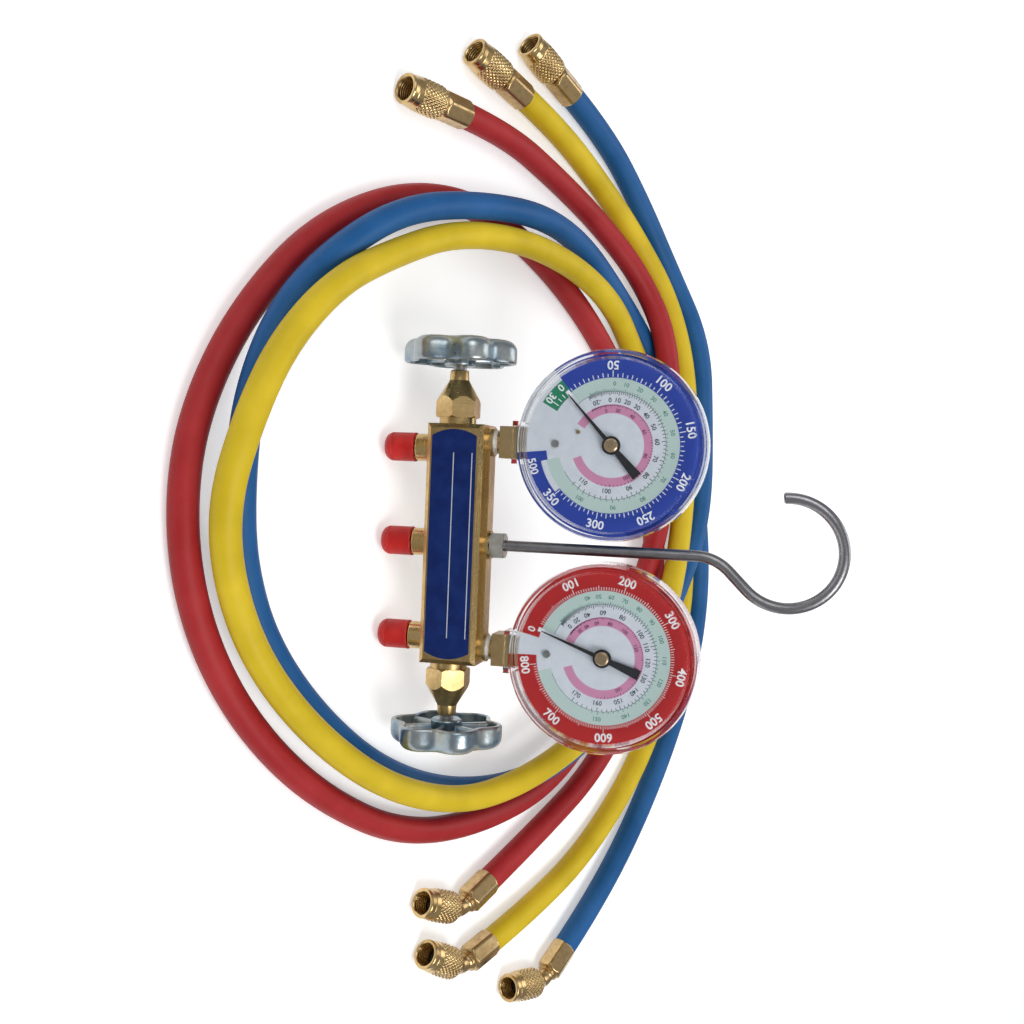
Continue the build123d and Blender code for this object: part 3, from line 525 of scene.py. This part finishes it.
def handwheel(name, seat, axis, body, material):
    """A die-cast wheel with six lobes, domed in front and hollow behind, round a hub with six webs.

    The outline's radius is lobe_radius less valley_depth times a half wave of six to the turn,
    raised to 1.25. A ring's radius is its share of the outline less an inset, plus the rest of the
    share times a plain radius. In the hollow it lies at its depth or on a web, whichever is less:
    a web stands web_rise above the floor and slopes off from web_foot less web_flank to web_foot.
    """
    angle = 2 * pi * np.arange(wheel_round) / wheel_round
    outline = lobe_radius - valley_depth * (0.5 - 0.5 * np.cos(lobes * angle)) ** 1.25
    from_web = np.abs(angle * lobes / (2 * pi) % 1 - 0.5) * 2 * pi / lobes
    # Each ring is its depth, its share of the outline, its inset from that and its plain radius.
    rim = [(0.25, rim_thickness), (0, 1.6), (0, 1.0), (0.25, 0.45), (0.8, 0.12),
           (1.6, 0), (3, 0), (4.5, 0), (dome_start, 0)]
    dome = [(dome_start + dome_rise * sin(a), dome_inset * (1 - cos(a)))
            for a in np.radians(np.arange(12, 91, 12))]
    face = dome_start + dome_rise
    bore = [(face, 5.5), (10.8, 4.35), (9.5, 4.3), (9.5, 2.5), (5, 2.5), (0.4, 2.5),
            (0.4, 3.05), (-1.2, 3.05), (-1.2, 6.3), (-0.6, hub_radius)]
    solid = [(depth, 1, inset, 0) for depth, inset in rim + dome]
    solid += [(face, share, dome_inset, 5) for share in (1, 0.8, 0.6, 0.4, 0.2)]
    solid += [(depth, 0, 0, radius) for depth, radius in bore]
    hollow = [(depth, 0, 0, hub_radius) for depth in np.linspace(0, hollow_floor, 12)]
    hollow += [(hollow_floor, share, rim_thickness, hub_radius) for share in np.linspace(0.06, 0.97, 18)]
    hollow += [(depth, 1, rim_thickness, 0) for depth in np.linspace(hollow_floor, rim_end, 12)]
    depth, share, inset, plain = np.array(solid + hollow, float).T[..., None]
    radii = (outline - inset) * share + plain * (1 - share)
    near_web = np.clip((web_foot - radii * np.sin(from_web)) / web_flank, 0, 1)
    in_hollow = np.arange(len(depth))[:, None] >= len(solid)
    along = np.where(in_hollow, np.minimum(depth, hollow_floor - web_rise * near_web), depth)
    return lathe(name, along, radii, seat, axis, material, body, "wheel_chrome",
                 closed=True, first=(0, -1, 0))


zinc = plated("bright_zinc")
for valve, side in (("low", -1), ("high", 1)):
    wheel = handwheel(f"{valve}_cast_handwheel", on_block(side * wheel_seat, 0),
                      along_block * side, f"{valve}_wheel", zinc)
    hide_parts(f"{valve}_handwheel")

# ---- hook and jam nut ---------------------------------------------------------------------------
# A steel rod bent in a swan neck and an open ring, so that the set hangs with its dials forward.
# It screws into the middle boss, and a thin hexagonal nut locks it there.
dress(metal("hook_steel", (0.30, 0.295, 0.31), (0.19, 0.185, 0.19), 0.26,
            block_middle, block_turn, (1, 0.05, 1), 1600, 0.00002), "hook")
dress(metal("nut_zinc", (0.52, 0.52, 0.49), (0.34, 0.33, 0.30), 0.24, stretch=(1, 1, 0.1)), "hook_nut")

# ---- gauge sockets and thread tape --------------------------------------------------------------
# Each gauge stands on a square brass socket whose pipe thread screws into a boss. Two turns of
# white tape seal it, drawn tight into the thread and frayed along the edge.
gauge_across, gauge_up, boss_top = 46.5, 72.0, 18.0
pipe_root, pipe_crest, pipe_pitch, pipe_end = 4.97, 5.3, 0.94, 3.48
tape_width = 1.8
dress(metal("socket_brass", (0.50, 0.36, 0.18), (0.33, 0.22, 0.10), 0.30, block_middle, block_turn,
            (1, 1, 0.04), 1800, 0.00003), "low_gauge_socket", "high_gauge_socket")
tape = Finish("thread_tape", (0.80, 0.80, 0.77))
wrinkle = tape.grain(700, 3)
tape.paint(tape.blend(tape.limits(wrinkle, 0.35, 0.65), (0.66, 0.66, 0.62), (0.84, 0.84, 0.82)))
tape.set(Roughness=tape.limits(wrinkle, 0.3, 0.7, 0.4, 0.6))
tape.bump(wrinkle, 0.00008)


def wound_tape(name, seat, phase):
    """Tape drawn into a thread: a sleeve whose skin ripples and whose far edge wanders.

    Its radius falls from 5.35 to 5.30 mm, plus 0.07 times a zigzag of the thread beneath and small
    waves of 3, 7 and 11 to the turn. The far edge lies at the tape's width plus waves of 2, 5 and
    13 to the turn, which die away towards the near edge as the cube of the distance.
    """
    angle = 2 * pi * np.arange(96) / 96
    along, radius = ramp([(0.02, pipe_root), (0.02, 5.35), (tape_width, 5.30),
                          (tape_width, pipe_root)], 0.12)
    along, radius = along[:, None], radius[:, None]
    edge = (0.18 * np.sin(2 * angle + phase) + 0.09 * np.sin(5 * angle)
            + 0.05 * np.sin(13 * angle + phase))
    reach = along + (along / tape_width) ** 3 * edge
    ripple = (0.05 * np.sin(3 * angle + phase) + 0.04 * np.sin(7 * angle + reach * 4)
              + 0.03 * np.sin(11 * angle - reach * 3))
    swell = 0.07 * zigzag(reach / pipe_pitch - angle / (2 * pi)) + ripple
    radii = radius + np.where(radius > 5.2, swell, 0)
    sleeve = lathe(name, reach, radii, seat, to_hook, tape.material, "manifold", "tape_white", closed=True)
    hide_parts("thread_tapes")


pipe_along, pipe_radius = ramp([
    (0.02, 4.9), (0.02, pipe_crest), (pipe_end, pipe_crest), (pipe_end, 4.9)], 0.13)
pipe_radii = threaded(pipe_along, pipe_radius, 0.1, 3.4, pipe_root, 72, pipe_pitch)
for side, gauge in ((-1, "low"), (1, "high")):
    seat = on_block(side * gauge_across, boss_top)
    lathe(f"{gauge}_gauge_thread", pipe_along, pipe_radii, seat, to_hook, bonnet_brass,
          "manifold", "brass", closed=True)
    wound_tape(f"{gauge}_thread_tape", seat, 1.0 + side)

# ---- gauge cases --------------------------------------------------------------------------------
# Pressed steel cups, enamelled blue on the low side and red on the high side, with a smooth
# gloss that has faint orange peel. The brass movement and the dial stand inside.
for gauge, shade, enamel in (("low", "blue", (0.012, 0.085, 0.27)), ("high", "red", (0.34, 0.012, 0.016))):
    paint = Finish(f"{shade}_enamel", enamel, Coat_Weight=0.5, Coat_Roughness=0.06)
    peel = paint.grain(650, 2)
    dark = tuple(0.85 * part for part in enamel)
    paint.paint(paint.blend(paint.limits(paint.grain(45, 3), 0.35, 0.7), dark, enamel))
    paint.set(Roughness=paint.limits(peel, 0.3, 0.7, 0.16, 0.28))
    paint.bump(peel, 0.00002)
    dress(paint.material, f"{gauge}_gauge_case")
movement_brass = metal("movement_brass", (0.80, 0.62, 0.32), (0.60, 0.42, 0.18), 0.2, stretch=(1, 1, 0.05))
dress(movement_brass, *[f"{gauge}_{part}" for gauge in ("low", "high") for part in (
    "movement_plates", "pointer_pinion", "sector_gear", "bourdon_tube")])

# ---- dials --------------------------------------------------------------------------------------
# White enamelled discs printed in several inks: a wide coloured pressure scale with white marks,
# then three temperature scales for three refrigerants, in green, black and rose.
dial_face = 7.6               # millimetres out from the block's middle
ink_depth = 0.03


def dial_finish(name, side, fields):
    """White enamel with printed fields, each a colour between two radii and two angles.

    radius is the distance from the dial's middle and angle the arc tangent of across over up, so
    that it runs clockwise from the hook. A field's mask is the product of its four comparisons.
    """
    enamel = Finish(name, (0.66, 0.69, 0.72), Specular_IOR_Level=0.35)
    place = local(enamel, on_block(side * gauge_across, gauge_up), block_turn)
    across, up = [enamel.node("ShaderNodeSeparateXYZ", inputs={0: place}, output=way) * 1000
                  for way in (0, 1)]
    radius = (across * across + up * up) ** 0.5
    angle = across.sum("ARCTAN2", across, up) * (180 / pi)
    colour = patchy(enamel, enamel.grain(240, 3),
                    (0.55, 0.58, 0.62), (0.60, 0.625, 0.66), (0.32, 0.46))
    for tint, inner, outer, first, last in fields:
        mask = (radius > inner) * (radius < outer) * (angle > first) * (angle < last)
        colour = enamel.blend(mask, colour, tint)
    enamel.paint(colour)
    enamel.bump(enamel.grain(1600, 2), 0.000006)
    return enamel.material


pale_green, rose, line_ink = (0.44, 0.55, 0.51), (0.54, 0.23, 0.36), (0.06, 0.085, 0.11)
scale_blue, patch_green, scale_red = (0.022, 0.050, 0.30), (0.022, 0.20, 0.105), (0.40, 0.018, 0.018)
dial_edge, scale_foot = 41, 29.6
green_ring, line_ring, rose_ring = (23.7, scale_foot), (23.55, 23.75), (14.1, 18.0)
low_fields = [
    (pale_green, *green_ring, -129.5, 166), (line_ink, *line_ring, -135, 150),
    (rose, *rose_ring, -150, 160), (scale_blue, scale_foot, dial_edge, -129.5, 139),
    (scale_blue, 32.1, dial_edge, 139, 166), (scale_blue, 29.0, dial_edge, 166, 174),
    (patch_green, 28.6, 36.3, -150, -129.5)]
high_fields = [
    (pale_green, *green_ring, -158, 165), (line_ink, *line_ring, -158, 160),
    (rose, *rose_ring, -158, 163), (scale_red, scale_foot, dial_edge, -166.2, 178.8)]
for gauge, side, fields in (("low", -1, low_fields), ("high", 1, high_fields)):
    dress(dial_finish(f"{gauge}_dial_enamel", side, fields), f"{gauge}_dial")


def marks(side, angles, inner, outer, width):
    """Straight printed marks that point to the dial's middle, at angles clockwise from the hook.

    Each has its corners at the inner and outer radii, half a width either side of its ray.
    """
    angle = np.radians(np.asarray(angles, float))
    near, far = (np.broadcast_to(np.asarray(reach, float), angle.shape)[:, None] for reach in (inner, outer))
    ray = np.stack([np.sin(angle), np.cos(angle)], -1)
    beside = np.stack([np.cos(angle), -np.sin(angle)], -1) * width / 2
    corners = np.stack([near * ray - beside, near * ray + beside,
                        far * ray + beside, far * ray - beside], 1)
    middle = np.array([side * gauge_across, gauge_up])
    return slabs(corners + middle, dial_face, dial_face + ink_depth)


font_size, bolder = 1.36, 0.024     # for each millimetre of a number's height
same_point = 0.001


def number(text, height):
    """A number's outline as points, in millimetres about its middle, and faces, a little thick."""
    line = bpy.data.curves.new("number", "FONT")
    line.body, line.size, line.offset = text, height * font_size, height * bolder
    line.extrude = ink_depth / 2
    line.align_x, line.resolution_u = "CENTER", 3
    holder = bpy.data.objects.new("number", line)
    bpy.context.scene.collection.objects.link(holder)
    bpy.context.view_layer.update()
    mesh = bpy.data.meshes.new_from_object(holder)
    shell = bmesh.new()
    shell.from_mesh(mesh)
    bmesh.ops.remove_doubles(shell, verts=shell.verts, dist=same_point)
    shell.to_mesh(mesh)
    shell.free()
    points = np.empty(len(mesh.vertices) * 3)
    mesh.vertices.foreach_get("co", points)
    points = points.reshape(-1, 3)
    points[:, :2] -= (points[:, :2].min(0) + points[:, :2].max(0)) / 2
    faces = [tuple(face.vertices) for face in mesh.polygons]
    bpy.data.objects.remove(holder)
    bpy.data.curves.remove(line)
    bpy.data.meshes.remove(mesh)
    return points, faces


def joined(layers):
    """The points and faces of several shapes as one."""
    points, faces, count = [], [], 0
    for some_points, some_faces in layers:
        points.append(some_points)
        faces += [tuple(index + count for index in face) for face in some_faces]
        count += len(some_points)
    return np.vstack(points), faces


def numbers(side, labels, radius, height):
    """Numbers round a dial, upright to a reader: they turn over past a quarter turn."""
    shapes = []
    for text, angle in labels:
        shape, faces = number(text, height)
        turned_by = radians(-angle if abs(angle) < 90 else 180 - angle)
        spin = np.array([(cos(turned_by), -sin(turned_by)), (sin(turned_by), cos(turned_by))])
        middle = np.array([side * gauge_across + radius * sin(radians(angle)),
                           gauge_up + radius * cos(radians(angle))])
        lifted = np.column_stack([shape[:, :2] @ spin.T + middle,
                                  shape[:, 2] + dial_face + ink_depth / 2])
        shapes.append((np.array(block_middle) + lifted @ block_axes / 1000, faces))
    return joined(shapes)


def ink(name, colour):
    """Screen ink, slightly glossy and faintly grainy."""
    print_ink = Finish(name, colour)
    speck = print_ink.grain(1500, 2)
    dark = tuple(part * 0.9 for part in colour)
    print_ink.paint(print_ink.blend(print_ink.limits(speck, 0.3, 0.7), dark, colour))
    print_ink.set(Roughness=print_ink.limits(speck, 0.3, 0.7, 0.34, 0.46))
    return print_ink.material


# The printed pressures in psi, each with the angle that its mark stands at.
low_table = ((-30, -145.4), (0, -132.1), (50, -91.3), (100, -51.4), (150, -12.6), (200, 25),
             (250, 62.6), (300, 99.6), (350, 137.6), (500, 165.9))
high_table = ((0, -158.6), (100, -116.9), (200, -74.2), (300, -31.9), (400, 9.7), (500, 47.9),
              (600, 87.1), (700, 128.1), (800, 171))
# How each refrigerant's vapour pressure rises with temperature: a and b of temperature_angle.
refrigerants = {"green": (13.313, 4188.0), "black": (13.174, 4168.0), "rose": (13.05, 4180.0)}
air_pressure = 14.7           # psi
zero_fahrenheit = 459.67      # degrees above absolute zero
inks = {"white": ink("white_ink", (0.83, 0.84, 0.84)), "green": ink("green_ink", (0.07, 0.20, 0.155)),
        "black": ink("black_ink", (0.012, 0.016, 0.032)), "rose": ink("rose_ink", (0.10, 0.012, 0.05))}
# Each temperature scale's foot, the reach of its long marks, and its numbers' radius and height.
temperature_rings = ((23.75, 25.0, 27.0, 1.9), (23.6, 21.8, 19.9, 2.1), (17.95, 16.9, 15.4, 1.6))
short_share, thin_line = 0.62, 0.3          # of the temperature scales' marks
mark_foot, short_mark, long_mark, longest_mark = 29.9, 31.2, 31.8, 32.7
number_radius, number_height, zero_radius, zero_height = 35.0, 3.9, 34.0, 3.4
zero_foot, zero_width = 28.2, 1.9


def scale_angle(table, pressure):
    """The pointer's angle at a pressure, straight between the scale's printed numbers."""
    pressures, angles = zip(*table)
    return np.interp(pressure, pressures, angles)


def temperature_angle(table, refrigerant, degrees):
    """The angle of a temperature in degrees F, by the vapour's pressure in psi above the air's.

    The pressure is exp(a - b / (degrees + zero_fahrenheit)) less air_pressure.
    """
    a, b = refrigerants[refrigerant]
    return scale_angle(table, np.exp(a - b / (degrees + zero_fahrenheit)) - air_pressure)


def temperature_marks(side, table, refrigerant, first, last, foot, reach):
    """Marks each 2 degrees F from first to last, longer each 10."""
    degrees = np.arange(first, last + 1, 2)
    reaches = np.where(degrees % 10 == 0, reach, foot + (reach - foot) * short_share)
    inner, outer = np.sort(np.stack([np.full(reaches.shape, foot), reaches]), 0)
    return marks(side, temperature_angle(table, refrigerant, degrees), inner, outer, thin_line)


def print_dial(gauge, side, table, first, top, steps, width, zero_mark, zero_number, scales, more=()):
    """Print a dial's inks, each as one piece.

    Pressure marks of a width stand each 5 psi from first to top, and reach further at each of the
    two steps. scales holds an ink, the first and last mark in degrees F and the numbers shown for
    each temperature scale, and more is what else the white ink has.
    """
    pressures = np.arange(first, top + 1, 5)
    reach = np.where(pressures % steps[0] == 0, long_mark, short_mark)
    reach = np.where(pressures % steps[1] == 0, longest_mark, reach)
    labels = [(str(pressure), angle) for pressure, angle in table if 0 < pressure <= top]
    prints = {"white": [
        marks(side, scale_angle(table, pressures), mark_foot, reach, width),
        marks(side, [zero_mark], zero_foot, short_mark, zero_width),
        numbers(side, labels, number_radius, number_height),
        numbers(side, [("0", zero_number)], zero_radius, zero_height), *more]}
    for (tint, coldest, hottest, shown), (foot, reach, radius, height) in zip(scales, temperature_rings):
        labels = [(str(degree), temperature_angle(table, tint, degree)) for degree in shown]
        prints[tint] = [temperature_marks(side, table, tint, coldest, hottest, foot, reach),
                        numbers(side, labels, radius, height)]
    for tint, layers in prints.items():
        mesh_piece(f"{gauge}_dial_{tint}_print", *joined(layers), inks[tint], "manifold", "dial_white")


print_dial("low", -1, low_table, 5, 350, (10, 50), 0.34, -131.7, -133.6, (
    ("green", -30, 104, range(0, 101, 10)), ("black", -30, 112, (-20, *range(0, 111, 10))),
    ("rose", -30, 116, range(0, 101, 20))), more=(
    numbers(-1, [("500", 163.5)], 36.0, 3.6), numbers(-1, [("30", -144.4)], 34.2, 3.4),
    marks(-1, [-145.4, -141, -136.6], 29.4, [32.4, 31.4, 31.4], 0.4)))
print_dial("high", 1, high_table, 10, 800, (50, 100), 0.24, -159.5, -161.5, (
    ("green", -10, 152, range(40, 151, 10)), ("black", -10, 170, (*range(0, 81, 20), *range(100, 171, 10))),
    ("rose", -10, 174, range(20, 161, 20))))

# ---- pointers, pins and covers ------------------------------------------------------------------
# A blackened pointer turns with its brass bush above each dial, and a screw through the dial sets
# its zero. A clear moulded cover snaps over the case, with a slot for the socket.
dress(even_coat("pointer_black", (0.018, 0.018, 0.021), (0.38, 0.55), Metallic=0.2),
      "low_pointer", "high_pointer")
dress(metal("bush_brass", (0.62, 0.46, 0.28), (0.32, 0.22, 0.13), 0.24, stretch=(1, 0.2, 1), marks=1500),
      "low_pointer_bush", "high_pointer_bush", "stop_pins")
dress(metal("adjuster_steel", (0.52, 0.52, 0.50), (0.30, 0.30, 0.28), 0.25), "pointer_adjusters")

# The moulding lets light straight through where it faces the eye, and bends it on rims and edges.
clear = Finish("clear_cover", (0.97, 0.975, 0.985), Transmission_Weight=1.0, IOR=1.2)
clear.set(Roughness=clear.limits(clear.grain(900, 3), 0.4, 0.8, 0.0, 0.03))
open_air = clear.node("ShaderNodeBsdfTransparent", inputs={"Color": (0.93, 0.94, 0.95, 1)})
shadow = clear.node("ShaderNodeLightPath", output="Is Shadow Ray")
facing = clear.node("ShaderNodeLayerWeight", inputs={"Blend": 0.5}, output="Facing")
straight = shadow.sum("MAXIMUM", shadow, clear.limits(facing, 0.12, 0.6, 0.92, 0.0))
mixed = clear.node("ShaderNodeMixShader", inputs={
    0: straight, 1: Wire(clear, clear.shader.outputs[0]), 2: open_air})
clear.feed(clear.tree.nodes["Material Output"].inputs["Surface"], mixed)
dress(clear.material, "low_gauge_cover", "high_gauge_cover")

# ---- hose couplers ------------------------------------------------------------------------------
# A hexagonal brass sleeve is crimped on each hose end. A flare nut, turned and diamond knurled,
# spins on the tail. Its mouth has the female thread that screws onto a port, and a rubber gasket.
coupler_brass = metal("coupler_brass", (0.66, 0.47, 0.22), (0.40, 0.26, 0.11), 0.17,
                      stretch=(1, 1, 1), marks=500, depth=0.000004)
ferrule_brass = metal("ferrule_brass", (0.58, 0.41, 0.20), (0.34, 0.22, 0.10), 0.20,
                      stretch=(1, 1, 1), marks=420, depth=0.000004)
joints = {joint["name"]: joint for joint in frame["joints"]}
knurls_round, points_a_knurl, knurl_lead, knurl_depth = 24, 9, 2.8, 0.52
knurl_start, knurl_end, knurl_fade = 1.2, 16.4, 1.2
nut_back, nut_front, nut_neck, flange_room = 0.3, 22.5, 4.1, 5.7
mouth_floor, mouth_radius, mouth_thread = 12.0, 5.1, 0.42


def knurled_nut(name, seat, axis, body):
    """A flare nut as one closed profile turned about its axis.

    The skin bears a diamond knurl, which fades in and out over knurl_fade at its ends. There the
    radius is lowered by knurl_depth times one less the lesser of 1 and 1.5 times the lesser of two
    waves, of knurls_round to the turn plus and minus along / knurl_lead. The mouth bears the female
    thread from 12.2 to 21.7 mm, as a zigzag that is mouth_thread deep.
    """
    round_ = knurls_round * points_a_knurl
    along, radius = ramp([
        (nut_back, nut_neck), (nut_back, 6.2), (0.8, 7.1), (1.7, 7.75), (3.2, 8.0), (10.5, 8.0),
        (14.5, 7.75), (17.8, 7.3), (18.9, 7.15), (19.2, 7.0), (19.6, 7.15), (21.6, 7.15), (22.2, 6.9),
        (nut_front, 6.4), (nut_front, 5.7), (21.8, mouth_radius), (mouth_floor, mouth_radius),
        (mouth_floor, flange_room), (6.7, flange_room), (6.7, nut_neck)], 0.24)
    along, radius = along[:, None], radius[:, None]
    turn_share = np.arange(round_)[None] / round_
    first = zigzag(knurls_round * turn_share + along / knurl_lead)
    other = zigzag(knurls_round * turn_share - along / knurl_lead)
    fade = np.clip(np.minimum(along - knurl_start, knurl_end - along) / knurl_fade, 0, 1)
    groove = knurl_depth * (1 - np.minimum(1, 1.5 * np.minimum(first, other)))
    radii = radius - fade * (radius > 7.3) * groove
    bore = (np.abs(radius - mouth_radius) < 0.02) & (along > 12.2) & (along < 21.7)
    radii = np.where(bore, radii + mouth_thread * zigzag(along / thread_pitch - turn_share), radii)
    return lathe(name, along, radii, seat, axis, coupler_brass, body, "brass", closed=True)


def mouth_gasket(name, seat, axis, body):
    """A rubber ring with rounded edges on the floor of a nut's mouth."""
    radii = np.repeat([[5.05], [5.05], [4.8], [2.7], [2.5], [2.5]], 48, 1)
    return lathe(name, [12.05, 13.1, 13.3, 13.3, 13.1, 12.05], radii, seat, axis,
                 ring_rubber, body, "seal_rubber", closed=True)


sleeve_length, bend_lead, bend_radius, bend_angle = 14.0, 2.0, 9.0, pi / 4
hose_room, sleeve_radius, half_flats, sleeve_round = 6.3, 7.15, 6.5, 96
tail_radius, flange_start, flange_end, flange_radius, gas_bore = 4.0, 7.0, 11.7, 5.4, 2.0


def crimped_end(name, start, outward, bent, body):
    """A crimped sleeve with six flats, and the tail that the nut turns on, as rings along a line.

    The line runs straight from the hose, and on a bent end turns by bend_angle on an arc of
    bend_radius. A ring's radius is the profile's, and on the sleeve the hexagon's where that is
    less: half the flats over the cosine of the angle from the nearest flat's middle.
    """
    bend_start = sleeve_length + bend_lead
    most = bend_angle if bent else 0.0
    swing = bend_radius * most
    seat = bend_start + swing + bend_lead if bent else sleeve_length
    neck = [(seat, 5.3)]
    if bent:
        neck = [(14.9, 5.5), (15.4, 4.7), (16.4, 4.2), (seat - 4, 4.3), (seat - 0.9, 5.9), (seat, 5.9)]
    along, radius = ramp([
        (3, hose_room), (-3, hose_room), (-3, 6.6), (-2.4, sleeve_radius), (12.2, sleeve_radius),
        (13.6, 5.9), (sleeve_length, 5.0), *neck, (seat, tail_radius),
        (seat + flange_start, tail_radius), (seat + flange_start, flange_radius),
        (seat + flange_end, flange_radius), (seat + flange_end, gas_bore), (seat + 3, gas_bore)], 0.45)
    along, radius = along[:, None], radius[:, None]
    outward, inside = np.array(outward), np.array([outward.y, -outward.x, 0])
    turned_by = np.clip((along - bend_start) / bend_radius, 0, most)
    ahead_way = outward * np.cos(turned_by) + inside * np.sin(turned_by)
    side_way = outward * np.sin(turned_by) - inside * np.cos(turned_by)
    arc = bend_radius * (outward * np.sin(turned_by) + inside * (1 - np.cos(turned_by)))
    middle = (outward * np.minimum(along, bend_start) + arc
              + ahead_way * np.maximum(along - bend_start - swing, 0))
    angle = 2 * pi * np.arange(sleeve_round) / sleeve_round
    hexagon = half_flats / np.cos((angle + pi / 6) % (pi / 3) - pi / 6)
    on_sleeve = (along > -2.9) & (along < 13.4) & (radius > 6.35)
    radii = np.where(on_sleeve, np.minimum(radius, hexagon), radius)
    spokes = np.cos(angle)[:, None] * side_way[:, None] + np.sin(angle)[:, None] * np.array([0, 0, 1])
    points = np.array(start) + (middle[:, None] + radii[..., None] * spokes).reshape(-1, 3) / 1000
    last = (len(along) - 1) * sleeve_round
    faces = ring_faces(len(along), sleeve_round)
    faces += [range(sleeve_round - 1, -1, -1), range(last, last + sleeve_round)]
    return mesh_piece(name, points, faces, ferrule_brass, body, "brass", smooth=True)


for colour, (hose, points, length) in hoses.items():
    for end, start, inner in (("straight", points[0], points[1]), ("bent", points[-1], points[-2])):
        spin = joints[f"{colour}_{end}_spin"]
        seat, axis = Vector(spin["pos_m"]), Vector(spin["axis"])
        swivel = f"{colour}_{end}_swivel"
        nut = knurled_nut(f"{colour}_{end}_knurled_nut", seat, axis, swivel)
        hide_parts(f"{colour}_{end}_nut")
        gasket = mouth_gasket(f"{colour}_{end}_gasket", seat, axis, swivel)
        sleeve = crimped_end(f"{colour}_{end}_crimped_end", start, (start - inner).normalized(),
                             end == "bent", "manifold")
        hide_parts(f"{colour}_{end}_ferrule")
    dress(ferrule_brass, f"{colour}_depressor")
